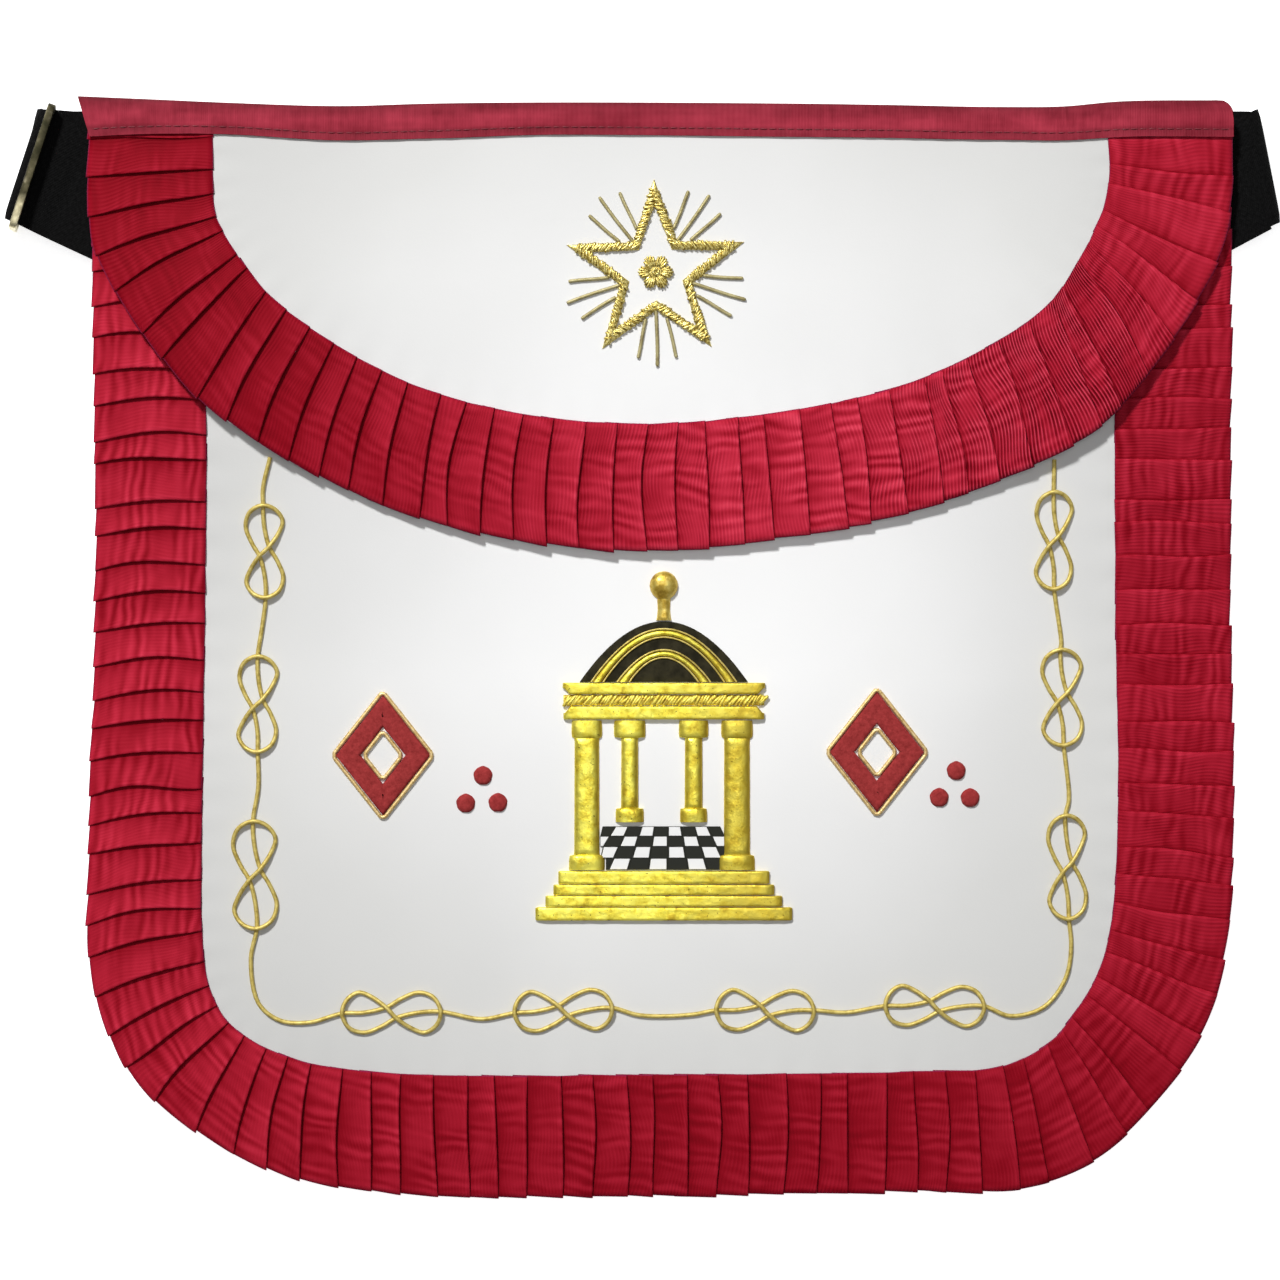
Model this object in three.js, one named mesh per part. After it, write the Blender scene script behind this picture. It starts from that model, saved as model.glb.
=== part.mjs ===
// A white leather ceremonial apron with pleated red ribbon, lying face up on a table.
// Millimetres. The waist edge points to +Y, the embroidered face to +Z, and the table is z = 0.

import * as THREE from "three";

// Sizes of the apron
const APRON_WIDTH = 400;
const APRON_LENGTH = 381;
const LEATHER = 1.4;
const REST_GAP = 0.35; // between pieces that lie on each other
const SIDE_GAP = 0.3; // between pieces that lie side by side

// How the leather lies: it comes down from the folded belt to the table, in soft waves
const WAIST_LIFT = 10.5;
const RAMP_START = 62;
const RAMP_END = 200;
const WAVE_HEIGHT = 1.2;
const SHEET_COLUMNS = 16;
const SHEET_ROWS = 18;
const FLAP_COLUMNS = 20;
const FLAP_ROWS = 8;

// Pleated ribbon
const RIBBON_WIDTH = 42;
const PLEAT_PITCH = 11.2;
const PLEAT_HIGH = 2.1;
const PLEAT_LOW = 1.0;
const PLEAT_LIP = 0.6; // how far a pleat's edge hangs over the next pleat
const PLEAT_ROOT = 2.4; // how far behind its edge a pleat is stitched down
const BODY_MARGIN = 3; // ribbon that stands past the leather's edge
const FLAP_MARGIN = 1; // leather that shows past the ribbon's edge

// Flap
const FLAP_GAP = 0.4;
const FLAP_EDGE_LIFT = 1.4;
const FLAP_DROP = 156;
const FLAP_RISE_WIDTH = 60; // how wide the slope is where the flap climbs onto the ribbon below

// Waist band, a strip folded over the top edges
const BAND_WALL = 0.9;
const BAND_HEIGHT = 11.8;
const BAND_BACK = 6;
const BAND_END_SLANT = 4.2;
const BAND_STATIONS = 20;

// Belt
const BELT_WIDTH = 40;
const BELT_THICKNESS = 1.6;
const BELT_SEWN = 25; // length under the leather
const BELT_EXIT_IN = 3.3; // from the apron's side to where the belt comes out
const BELT_LOWER_DOWN = 22.6; // from the waist edge to the middle of the lower run
const BELT_LEVEL = 7.5; // how far out the belt runs level before it turns
const LEFT_STUB = { reach: 24.2, down: 33.1, slant: 25, foldLean: 18 };
const RIGHT_STUB = { reach: 15.2, down: 30, slant: 28, foldLean: 11 };

// Slide and clasp
const SLIDE_LENGTH = 45;
const SLIDE_HEIGHT = 18;
const SLIDE_DEPTH = 2.6;
const SLIDE_BAR = 2.8;
const SLIDE_CORNER = 2.4;
const SLIDE_TILT = 11; // how far its upper edge leans in over the apron, in degrees
const CLASP_WIDTH = 26;
const CLASP_LENGTH = 44;
const CLASP_HEIGHT = 3;
const CLASP_CORNER = 4;

// Embroidery on the flap
const STAR_CENTRE = { x: -1.5, down: 60.3 };
const STAR_TIP = 28;
const STAR_NOTCH = 11.3;
const STAR_TURN = 1;
const BULLION_WIDTH = 3.3;
const BULLION_HEIGHT = 1.7;
const RAY_WIDTH = 1.3;
const RAY_HEIGHT = 0.9;
const RAY_SPREAD = 12.8;
const MIDDLE_RAY = { from: 14, to: 32.4 };
const SIDE_RAY = { from: 18, to: 30.2 };
const ROSETTE_RADIUS = 6.3;
const ROSETTE_HEIGHT = 1.6;

// Temple embroidered on the body
const TEMPLE_WIDTH = 89.4;
const TEMPLE_HEIGHT = 121.6;
const STEP_HEIGHT = 1.6;
const BEAM_HEIGHT = 2;
const COLUMN_HEIGHT = 2.2;
const SHAFT_HEIGHT = 1.8;
const FLOOR_HEIGHT = 0.8;
const DOME_HEIGHT = 0.9;
const ARCH_WIDTH = 4.9; // at its feet
const ARCH_HEIGHT = 1.2;
const BALL_RADIUS = 5;
const BALL_HEIGHT = 3.4;
const STEM_WIDTH = 4.9;
const STEM_HEIGHT = 1.9;

// Lozenges and dots, beside the temple
const LOZENGE_WIDTH = 37;
const LOZENGE_LENGTH = 47;
const LOZENGE_STROKE = 6.4;
const LOZENGE_HEIGHT = 1.4;
const EDGE_CORD = 1.5;
const DOT_RADIUS = 3.3;
const DOT_HEIGHT = 1.6;

// Knotted cord, sewn down along its whole length
const CORD_DIAMETER = 1.75;
const KNOT_LENGTH = 34;
const KNOT_WIDTH = 16.4;
const KNOT_STEP = 1.95; // how much higher the cord runs where it crosses itself

// Soft waves in the leather: places as shares of the half width and the length
const WAVES = [
  { x: -0.55, down: 0.62, spread: 0.3, height: 0.7 },
  { x: 0.5, down: 0.55, spread: 0.28, height: 0.9 },
  { x: -0.12, down: 0.86, spread: 0.24, height: 0.45 },
  { x: 0.66, down: 0.86, spread: 0.22, height: 0.6 },
  { x: -0.74, down: 0.88, spread: 0.2, height: 0.6 },
];

// Outer edge of the body's ribbon, down the left side, along the bottom and up the right side.
// x is a share of the half width, down of the length, ribbon of the ribbon's width,
// and heading is the direction of the pleats from the outer edge to the seam, in degrees.
// A row with no down is an end, just under the waist band.
const BODY_EDGE = [
  { x: -0.982, ribbon: 0.94, heading: 1 },
  { x: -0.978, down: 0.32, ribbon: 0.92, heading: 3 },
  { x: -0.985, down: 0.495, ribbon: 0.92, heading: 4 },
  { x: -0.996, down: 0.7, ribbon: 0.95, heading: 6 },
  { x: -0.997, down: 0.773, ribbon: 0.97, heading: 11 },
  { x: -0.971, down: 0.838, ribbon: 0.94, heading: 22 },
  { x: -0.911, down: 0.895, ribbon: 0.91, heading: 39 },
  { x: -0.797, down: 0.944, ribbon: 0.9, heading: 65 },
  { x: -0.641, down: 0.982, ribbon: 0.97, heading: 84 },
  { x: -0.45, down: 0.997, ribbon: 1.0, heading: 91 },
  { x: 0.0, down: 0.999, ribbon: 1.01, heading: 90 },
  { x: 0.45, down: 0.995, ribbon: 1.0, heading: 90 },
  { x: 0.627, down: 0.993, ribbon: 1.04, heading: 97 },
  { x: 0.762, down: 0.965, ribbon: 1.05, heading: 112 },
  { x: 0.866, down: 0.912, ribbon: 1.01, heading: 132 },
  { x: 0.947, down: 0.848, ribbon: 1.0, heading: 152 },
  { x: 0.987, down: 0.773, ribbon: 0.98, heading: 168 },
  { x: 0.999, down: 0.655, ribbon: 0.96, heading: 177 },
  { x: 0.994, down: 0.455, ribbon: 0.96, heading: 180 },
  { x: 0.987, down: 0.255, ribbon: 0.96, heading: 180 },
  { x: 0.984, ribbon: 0.96, heading: 180 },
];

// Outer edge of the flap's ribbon, with the same columns
const FLAP_EDGE = [
  { x: -0.982, ribbon: 1.02, heading: 1 },
  { x: -0.984, down: 0.095, ribbon: 1.04, heading: 7 },
  { x: -0.973, down: 0.138, ribbon: 1.04, heading: 17 },
  { x: -0.939, down: 0.173, ribbon: 1.01, heading: 28 },
  { x: -0.883, down: 0.218, ribbon: 1.01, heading: 42 },
  { x: -0.779, down: 0.28, ribbon: 1.04, heading: 58 },
  { x: -0.623, down: 0.333, ribbon: 1.03, heading: 70 },
  { x: -0.45, down: 0.374, ribbon: 1.03, heading: 79 },
  { x: -0.242, down: 0.401, ribbon: 1.04, heading: 85 },
  { x: -0.009, down: 0.41, ribbon: 1.05, heading: 90 },
  { x: 0.225, down: 0.397, ribbon: 1.03, heading: 95 },
  { x: 0.433, down: 0.375, ribbon: 1.03, heading: 99 },
  { x: 0.606, down: 0.342, ribbon: 1.05, heading: 106 },
  { x: 0.753, down: 0.3, ribbon: 1.1, heading: 112 },
  { x: 0.857, down: 0.238, ribbon: 1.08, heading: 125 },
  { x: 0.925, down: 0.184, ribbon: 1.04, heading: 143 },
  { x: 0.968, down: 0.136, ribbon: 1.04, heading: 159 },
  { x: 0.982, down: 0.095, ribbon: 1.02, heading: 170 },
  { x: 0.982, ribbon: 1.01, heading: 180 },
];

// Top edge of the waist band, and its height as a share of the band's
const BAND_EDGE = [
  { x: -1.0, down: 0.0, height: 1.2 },
  { x: -0.866, down: 0.003, height: 1.02 },
  { x: -0.736, down: 0.006, height: 0.93 },
  { x: -0.563, down: 0.008, height: 1.01 },
  { x: -0.39, down: 0.0055, height: 1.03 },
  { x: -0.173, down: 0.0045, height: 0.95 },
  { x: 0.216, down: 0.0055, height: 0.98 },
  { x: 0.416, down: 0.007, height: 0.97 },
  { x: 0.589, down: 0.009, height: 0.97 },
  { x: 0.693, down: 0.009, height: 1.0 },
  { x: 0.797, down: 0.0045, height: 1.06 },
  { x: 0.984, down: 0.0036, height: 1.09 },
];

// Middle of the temple's top: shares of the half width and of the length
const TEMPLE_PLACE = { x: 0.007, down: 0.4278 };

// Temple pieces: shares of the temple's width from its middle, and of its height from its top
const STEPS = [
  { half: 0.411, top: 0.858, bottom: 0.895 },
  { half: 0.43, top: 0.897, bottom: 0.927 },
  { half: 0.461, top: 0.929, bottom: 0.96 },
  { half: 0.5, top: 0.962, bottom: 1.0 },
];
const BEAMS = [
  { name: "temple_cornice", half: 0.394, top: 0.319, bottom: 0.352, flare: 1 },
  { name: "temple_rope_band", half: 0.391, top: 0.354, bottom: 0.384, flare: 0 },
  { name: "temple_architrave", half: 0.391, top: 0.386, bottom: 0.424, flare: -1 },
];
const COLUMNS = [
  { name: "temple_front_column_left", x: -0.3, half: 0.048, cap: 0.06, base: 0.07, bottom: 0.855 },
  { name: "temple_back_column_left", x: -0.133, half: 0.033, cap: 0.062, base: 0.055, bottom: 0.718 },
  { name: "temple_back_column_right", x: 0.116, half: 0.034, cap: 0.058, base: 0.053, bottom: 0.718 },
  { name: "temple_front_column_right", x: 0.285, half: 0.05, cap: 0.062, base: 0.07, bottom: 0.855 },
];
const COLUMN_TOP_SHARE = 0.427;
const CAP_SHARE = 0.048;
const BASE_SHARES = { front: 0.04, back: 0.038 };
const TIP_SHARE = 0.035; // the slope at each end of a course, of the course's length
const TIP_HEIGHT_SHARE = 0.8; // of the course's own height
const ARCHES = [
  { name: "temple_arch_outer", half: 0.287, top: 0.162 },
  { name: "temple_arch_inner", half: 0.186, top: 0.222 },
];
const DOME = { half: 0.328, top: 0.143, bottom: 0.317 };
const PAVEMENT = { x: -0.008, top: 0.728, bottom: 0.855, narrowFrom: 0.65, topHalf: 0.24, bottomHalf: 0.218 };

// Places of the lozenges and dots: shares of the half width and of the length
const LOZENGES = [
  { name: "left", x: -0.482, down: 0.596 },
  { name: "right", x: 0.378, down: 0.593 },
];
const DOTS = [
  { x: -0.308, down: 0.6145 },
  { x: -0.338, down: 0.6398 },
  { x: -0.282, down: 0.6392 },
  { x: 0.516, down: 0.61 },
  { x: 0.4865, down: 0.6345 },
  { x: 0.5403, down: 0.6348 },
];

// One figure-eight knot from its entry to its exit: along is a share of its length,
// aside of its half width to the cord's left, and over is 1 where it crosses on top.
const KNOT = [
  { along: 0.0, aside: 0.0, over: 0 },
  { along: 0.22, aside: 0.02, over: 0 },
  { along: 0.45, aside: 0.26, over: 0 },
  { along: 0.6, aside: 0.66, over: 0 },
  { along: 0.78, aside: 0.95, over: 0 },
  { along: 0.93, aside: 0.7, over: 0.5 },
  { along: 1.0, aside: 0.0, over: 1 },
  { along: 0.95, aside: -0.66, over: 0.5 },
  { along: 0.83, aside: -1.0, over: 0 },
  { along: 0.7, aside: -0.78, over: 0.2 },
  { along: 0.55, aside: -0.26, over: 1 },
  { along: 0.45, aside: 0.26, over: 1 },
  { along: 0.3, aside: 0.78, over: 0.2 },
  { along: 0.17, aside: 1.0, over: 0 },
  { along: 0.05, aside: 0.66, over: 0.5 },
  { along: 0.0, aside: 0.0, over: 1 },
  { along: 0.07, aside: -0.7, over: 0.5 },
  { along: 0.22, aside: -0.95, over: 0 },
  { along: 0.4, aside: -0.66, over: 0 },
  { along: 0.55, aside: -0.26, over: 0 },
  { along: 0.78, aside: -0.02, over: 0 },
  { along: 1.0, aside: 0.0, over: 0 },
];

// The cord's way round the body: a knot where length is given, a plain point elsewhere.
// turn is the direction of travel in degrees, length and width are shares of a knot's.
const CORD_WAY = [
  { x: -0.675, down: 0.3245 },
  { x: -0.688, down: 0.352 },
  { x: -0.687, down: 0.41, turn: -89, length: 0.94, width: 0.9 },
  { x: -0.692, down: 0.478 },
  { x: -0.7, down: 0.549, turn: -90, length: 0.98, width: 0.92 },
  { x: -0.699, down: 0.625 },
  { x: -0.705, down: 0.705, turn: -88, length: 1.1, width: 1.04 },
  { x: -0.712, down: 0.782 },
  { x: -0.699, down: 0.822 },
  { x: -0.662, down: 0.838 },
  { x: -0.61, down: 0.84 },
  { x: -0.467, down: 0.831, turn: 1, length: 1.01, width: 0.98 },
  { x: -0.31, down: 0.837 },
  { x: -0.168, down: 0.829, turn: 3, length: 1.0, width: 0.96 },
  { x: -0.035, down: 0.8335 },
  { x: 0.055, down: 0.833 },
  { x: 0.183, down: 0.829, turn: 0, length: 1.0, width: 0.97 },
  { x: 0.325, down: 0.831 },
  { x: 0.478, down: 0.825, turn: 0, length: 1.01, width: 0.96 },
  { x: 0.61, down: 0.834 },
  { x: 0.668, down: 0.826 },
  { x: 0.706, down: 0.8 },
  { x: 0.716, down: 0.771 },
  { x: 0.709, down: 0.698, turn: 92, length: 1.06, width: 0.9 },
  { x: 0.712, down: 0.636 },
  { x: 0.7, down: 0.543, turn: 92, length: 0.98, width: 0.95 },
  { x: 0.6985, down: 0.4925 },
  { x: 0.684, down: 0.4, turn: 91, length: 0.99, width: 0.86 },
  { x: 0.683, down: 0.3265 },
];
const CORD_SIDES = 5;

const vector = (x, y, z = 0) => new THREE.Vector3(x, y, z);
const radians = THREE.MathUtils.degToRad;
const mix = THREE.MathUtils.lerp;

// A place on the face from a share of the half width and a share of the length
const onFace = (x, down) => vector((x * APRON_WIDTH) / 2, APRON_LENGTH * (0.5 - down));

// Heights of the lying sheets

function bodyUnderside(x, y) {
  const down = APRON_LENGTH / 2 - y;
  const ramp = WAIST_LIFT * (1 - THREE.MathUtils.smoothstep(down, RAMP_START, RAMP_END));
  const waves = WAVES.map((wave) => {
    const centre = onFace(wave.x, wave.down);
    const reach = (wave.spread * APRON_WIDTH) / 2;
    return WAVE_HEIGHT * wave.height * Math.exp(-(((x - centre.x) ** 2 + (y - centre.y) ** 2) / reach ** 2));
  });
  return ramp + waves.reduce((sum, wave) => sum + wave, 0);
}

const bodyTop = (x, y) => bodyUnderside(x, y) + LEATHER;

// The flap clears the leather in the middle and climbs over the body's ribbon at the sides
function flapUnderside(x, y) {
  const seam = APRON_WIDTH / 2 - RIBBON_WIDTH - BODY_MARGIN;
  const rise = REST_GAP + PLEAT_HIGH + REST_GAP - FLAP_GAP;
  const climb = rise * THREE.MathUtils.smoothstep(Math.abs(x), seam - FLAP_RISE_WIDTH, seam);
  const down = Math.max(0, APRON_LENGTH / 2 - y);
  return bodyTop(x, y) + FLAP_GAP + climb + FLAP_EDGE_LIFT * (down / FLAP_DROP) ** 2;
}

const flapTop = (x, y) => flapUnderside(x, y) + LEATHER;
const restingOn = (surface) => (x, y) => surface(x, y) + REST_GAP;

// Closed bodies from rings of points

function solidFrom(points, index) {
  const geometry = new THREE.BufferGeometry();
  const position = points.flatMap((point) => [point.x, point.y, point.z]);
  geometry.setAttribute("position", new THREE.Float32BufferAttribute(position, 3));
  let volume = 0;
  for (let i = 0; i < index.length; i += 3) {
    const [a, b, c] = [points[index[i]], points[index[i + 1]], points[index[i + 2]]];
    volume += a.dot(b.clone().cross(c));
  }
  geometry.setIndex(volume < 0 ? index.toReversed() : index);
  return geometry;
}

function wallBetweenRings(rings, endless) {
  const size = rings[0].length;
  const index = [];
  const spans = endless ? rings.length : rings.length - 1;
  for (let ring = 0; ring < spans; ring += 1) {
    const near = ring * size;
    const far = ((ring + 1) % rings.length) * size;
    for (let i = 0; i < size; i += 1) {
      const j = (i + 1) % size;
      index.push(near + i, far + i, far + j, near + i, far + j, near + j);
    }
  }
  return index;
}

// A body along a path. Each ring runs out along one side of its section and back along the other,
// so an end is closed by joining the two sides point by point.
function loft(rings, endless = false) {
  const index = wallBetweenRings(rings, endless);
  const size = rings[0].length;
  const zip = (start, corners) => index.push(...corners.map((corner) => start + corner));
  if (!endless) {
    const last = (rings.length - 1) * size;
    for (let i = 0; i + 1 < size - 1 - i; i += 1) {
      zip(0, [i, i + 1, size - 1 - i]);
      zip(last, [i + 1, i, size - 1 - i]);
      if (i + 1 < size - 2 - i) {
        zip(0, [i + 1, size - 2 - i, size - 1 - i]);
        zip(last, [size - 2 - i, i + 1, size - 1 - i]);
      }
    }
  }
  return solidFrom(rings.flat(), index);
}

// A low mound from level outlines, each closed by a fan from its middle
function mound(outlines) {
  const size = outlines[0].length;
  const index = wallBetweenRings(outlines, false);
  const points = outlines.flat();
  const fan = (outline, start, flip) => {
    const middle = points.length;
    const centre = outline.reduce((sum, point) => sum.add(point), vector(0, 0)).divideScalar(size);
    points.push(centre);
    for (let i = 0; i < size; i += 1) {
      const j = (i + 1) % size;
      index.push(start + (flip ? j : i), start + (flip ? i : j), middle);
    }
  };
  fan(outlines[0], 0, false);
  fan(outlines.at(-1), (outlines.length - 1) * size, true);
  return solidFrom(points, index);
}

// Lays a geometry made flat at z = 0 on a surface
function lay(geometry, ground) {
  const position = geometry.getAttribute("position");
  for (let i = 0; i < position.count; i += 1) {
    position.setZ(i, position.getZ(i) + ground(position.getX(i), position.getY(i)));
  }
  return geometry;
}

// Curves and edges

// The place at a share of a polyline's length
function trace(points) {
  const along = [0];
  for (let i = 1; i < points.length; i += 1) along.push(along[i - 1] + points[i].distanceTo(points[i - 1]));
  return (share) => {
    const distance = share * along.at(-1);
    const next = Math.max(1, along.findIndex((reached) => reached >= distance - 1e-9));
    const part = (distance - along[next - 1]) / (along[next] - along[next - 1]);
    return points[next - 1].clone().lerp(points[next], part);
  };
}

const bandCurve = new THREE.CatmullRomCurve3(BAND_EDGE.map((row) => onFace(row.x, row.down)));
const bandHeights = new THREE.CatmullRomCurve3(BAND_EDGE.map((row) => vector(row.height * BAND_HEIGHT, 0)));

// A place on the band at a share of its length and a distance down from its top edge
function onBand(share, drop) {
  const top = bandCurve.getPoint(share);
  const height = bandHeights.getPoint(share).x;
  const slant = BAND_END_SLANT * Math.max(0, 1 - share * (BAND_STATIONS - 1));
  return top.add(vector((slant * drop) / height, -drop));
}

// Where the band ends above a ribbon's end
const bandFoot = (share) => onBand(share, bandHeights.getPoint(share).x).y - SIDE_GAP;

// A ribbon's two edges as smooth curves, read by the distance along its middle
function ribbonPath(rows) {
  const outer = rows.map((row) =>
    row.down === undefined ? onFace(row.x, 0).setY(bandFoot(row.x < 0 ? 0 : 1)) : onFace(row.x, row.down),
  );
  const inner = rows.map((row, i) => {
    const reach = row.ribbon * RIBBON_WIDTH;
    const heading = radians(row.heading);
    return outer[i].clone().add(vector(reach * Math.cos(heading), reach * Math.sin(heading)));
  });
  const edges = [new THREE.CatmullRomCurve3(outer), new THREE.CatmullRomCurve3(inner)];
  const samples = 400;
  const middle = (u) => edges[0].getPoint(u).lerp(edges[1].getPoint(u), 0.5);
  const along = [0];
  for (let i = 1; i <= samples; i += 1) {
    along.push(along[i - 1] + middle(i / samples).distanceTo(middle((i - 1) / samples)));
  }
  const at = (distance, across) => {
    const next = Math.max(1, along.findIndex((reached) => reached >= distance - 1e-6));
    const part = (distance - along[next - 1]) / (along[next] - along[next - 1]);
    const u = Math.min(1, (next - 1 + part) / samples);
    return edges[0].getPoint(u).lerp(edges[1].getPoint(u), across);
  };
  return { length: along.at(-1), at };
}

const bodyRibbon = ribbonPath(BODY_EDGE);
const flapRibbon = ribbonPath(FLAP_EDGE);

// Sheets of leather

// A grid of places filling the area inside four edges, by blending them
function patch(top, bottom, left, right, columns, rows) {
  const grid = [];
  for (let row = 0; row <= rows; row += 1) {
    const v = row / rows;
    const line = [];
    for (let column = 0; column <= columns; column += 1) {
      const u = column / columns;
      const between = top(u).multiplyScalar(1 - v).addScaledVector(bottom(u), v);
      between.addScaledVector(left(v), 1 - u).addScaledVector(right(v), u);
      const corners = top(0).lerp(top(1), u).multiplyScalar(1 - v);
      line.push(between.sub(corners.add(bottom(0).lerp(bottom(1), u).multiplyScalar(v))));
    }
    grid.push(line);
  }
  return grid;
}

function sheet(grid, underside) {
  const raised = (point, wall) => vector(point.x, point.y, underside(point.x, point.y) + wall);
  const rings = grid.map((line) => [
    ...line.map((point) => raised(point, LEATHER)),
    ...line.toReversed().map((point) => raised(point, 0)),
  ]);
  return loft(rings);
}

// The leather under a ribbon ends a margin inside the ribbon's outer edge, or outside it if negative
function leatherUnder(ribbon, margin, cornerShare, [columns, rows], underside) {
  const across = margin / RIBBON_WIDTH;
  const steps = 60;
  const edge = (from, to) => {
    const distances = Array.from({ length: steps + 1 }, (_, i) => ribbon.length * mix(from, to, i / steps));
    return distances.map((distance) => ribbon.at(distance, across));
  };
  const inset = Math.max(margin, 0) / APRON_WIDTH;
  const hem = (share) => onBand(mix(inset, 1 - inset, share), BAND_WALL + REST_GAP);
  const left = trace([hem(0), ...edge(0, cornerShare)]);
  const right = trace([hem(1), ...edge(1, 1 - cornerShare)]);
  const bottom = trace(edge(cornerShare, 1 - cornerShare));
  return sheet(patch(hem, bottom, left, right, columns, rows), underside);
}

// Pleated ribbon: each knife pleat rises to an edge that hangs over the start of the next one

function pleatedRibbon(ribbon, ground) {
  const stitching = [
    { across: 1, share: 0.88 },
    { across: 0.55, share: 1 },
    { across: 0, share: 0.94 },
  ];
  const rib = (topAt, bottomAt, height) => {
    const over = stitching.map(({ across, share }) => {
      const place = ribbon.at(topAt, across);
      return place.setZ(ground(place.x, place.y) + height * share);
    });
    const under = stitching.toReversed().map(({ across }) => {
      const place = ribbon.at(bottomAt, across);
      return place.setZ(ground(place.x, place.y));
    });
    return [...over, ...under];
  };
  const count = Math.round(ribbon.length / PLEAT_PITCH);
  const pitch = ribbon.length / count;
  const ribs = [];
  for (let pleat = 0; pleat < count; pleat += 1) {
    const start = pleat * pitch;
    const end = start + pitch;
    const last = pleat === count - 1;
    ribs.push(rib(start, start, PLEAT_LOW));
    ribs.push(rib(last ? end : end + PLEAT_LIP, last ? end : end - PLEAT_ROOT, PLEAT_HIGH));
  }
  return loft(ribs);
}

// Waist band: a strip folded over the top edges of body and flap

function waistBand() {
  const rings = [];
  for (let station = 0; station < BAND_STATIONS; station += 1) {
    const share = station / (BAND_STATIONS - 1);
    const height = bandHeights.getPoint(share).x;
    const at = (drop, surface, offset) => {
      const place = onBand(share, drop);
      return place.setZ(surface(place.x, place.y) + offset);
    };
    const fold = BAND_WALL;
    rings.push([
      at(height, flapTop, REST_GAP + BAND_WALL),
      at(fold, flapTop, REST_GAP + BAND_WALL),
      at(0, flapTop, REST_GAP),
      at(0, bodyUnderside, -REST_GAP),
      at(fold, bodyUnderside, -REST_GAP - BAND_WALL),
      at(BAND_BACK, bodyUnderside, -REST_GAP - BAND_WALL),
      at(BAND_BACK, bodyUnderside, -REST_GAP),
      at(2 * fold, bodyUnderside, -REST_GAP),
      at(fold, bodyUnderside, -REST_GAP),
      at(fold, flapTop, REST_GAP),
      at(2 * fold, flapTop, REST_GAP),
      at(height, flapTop, REST_GAP),
    ]);
  }
  return loft(rings);
}

// Belt, slide and clasp

const lowerRunHeight = BELT_THICKNESS / 2;
const sewnRunHeight = WAIST_LIFT - REST_GAP - BELT_THICKNESS / 2;
const exitX = APRON_WIDTH / 2 - BELT_EXIT_IN;

// The middle of a stub at a distance out from the apron's side
function stubPlace(stub, side, out) {
  const y = APRON_LENGTH / 2 - stub.down + out * Math.tan(radians(stub.slant));
  return vector(side * (exitX + out), y);
}

// The belt from its sewn end, out past the apron's side, round a half turn and back below
function belt(stub, side, turnHeight, turnRadius) {
  const lowerY = APRON_LENGTH / 2 - BELT_LOWER_DOWN;
  const onLowerRun = (x) => ({ centre: vector(side * x, lowerY, lowerRunHeight), lean: 0 });
  const turnOut = stub.reach - turnRadius - BELT_THICKNESS / 2;
  const levelOut = Math.min(BELT_LEVEL, turnOut / 2);
  const onStub = (out, z) => stubPlace(stub, side, out).setZ(z);
  const stations = [
    { centre: onStub(-BELT_SEWN, sewnRunHeight), lean: stub.slant },
    { centre: onStub(levelOut, sewnRunHeight), lean: stub.slant },
  ];
  [90, 45, 0, -45, -90].map(radians).forEach((angle) => {
    const out = turnOut + turnRadius * Math.cos(angle);
    stations.push({ centre: onStub(out, turnHeight + turnRadius * Math.sin(angle)), lean: stub.foldLean });
  });
  stations.push(...[exitX + levelOut, exitX - BELT_SEWN, CLASP_WIDTH / 2 + SIDE_GAP].map(onLowerRun));
  const rings = stations.map(({ centre, lean }, i) => {
    const before = stations[Math.max(0, i - 1)].centre;
    const after = stations[Math.min(stations.length - 1, i + 1)].centre;
    const across = vector(-side * Math.sin(radians(lean)), Math.cos(radians(lean)));
    const level = centre.z === sewnRunHeight || centre.z === lowerRunHeight;
    const up = vector(0, 0, centre.z === lowerRunHeight ? -1 : 1);
    const normal = level ? up : after.clone().sub(before).cross(across).multiplyScalar(side).normalize();
    const corner = (width, thickness) => {
      const place = centre.clone().addScaledVector(across, (width * BELT_WIDTH) / 2);
      return place.addScaledVector(normal, (thickness * BELT_THICKNESS) / 2);
    };
    return [corner(1, 1), corner(-1, 1), corner(-1, -1), corner(1, -1)];
  });
  return loft(rings);
}

function roundedPlate(width, height, corner, shape = new THREE.Shape()) {
  const [x, y] = [width / 2, height / 2];
  shape.moveTo(-x + corner, -y);
  shape.lineTo(x - corner, -y).quadraticCurveTo(x, -y, x, -y + corner);
  shape.lineTo(x, y - corner).quadraticCurveTo(x, y, x - corner, y);
  shape.lineTo(-x + corner, y).quadraticCurveTo(-x, y, -x, y - corner);
  shape.lineTo(-x, -y + corner).quadraticCurveTo(-x, -y, -x + corner, -y);
  return shape;
}

// The left stub turns round the slide's middle bar, the right one folds back on itself
const slideTurn = Math.hypot(SLIDE_BAR, SLIDE_DEPTH) / 2 + REST_GAP + BELT_THICKNESS / 2;
const slideTilt = radians(SLIDE_TILT);
const slideMiddle = (SLIDE_HEIGHT * Math.cos(slideTilt) + SLIDE_DEPTH * Math.sin(slideTilt)) / 2;
const freeTurn = (sewnRunHeight - lowerRunHeight) / 2;

const flatPlate = (shape, depth) =>
  new THREE.ExtrudeGeometry(shape, { depth, bevelEnabled: false, curveSegments: 3 });

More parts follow.
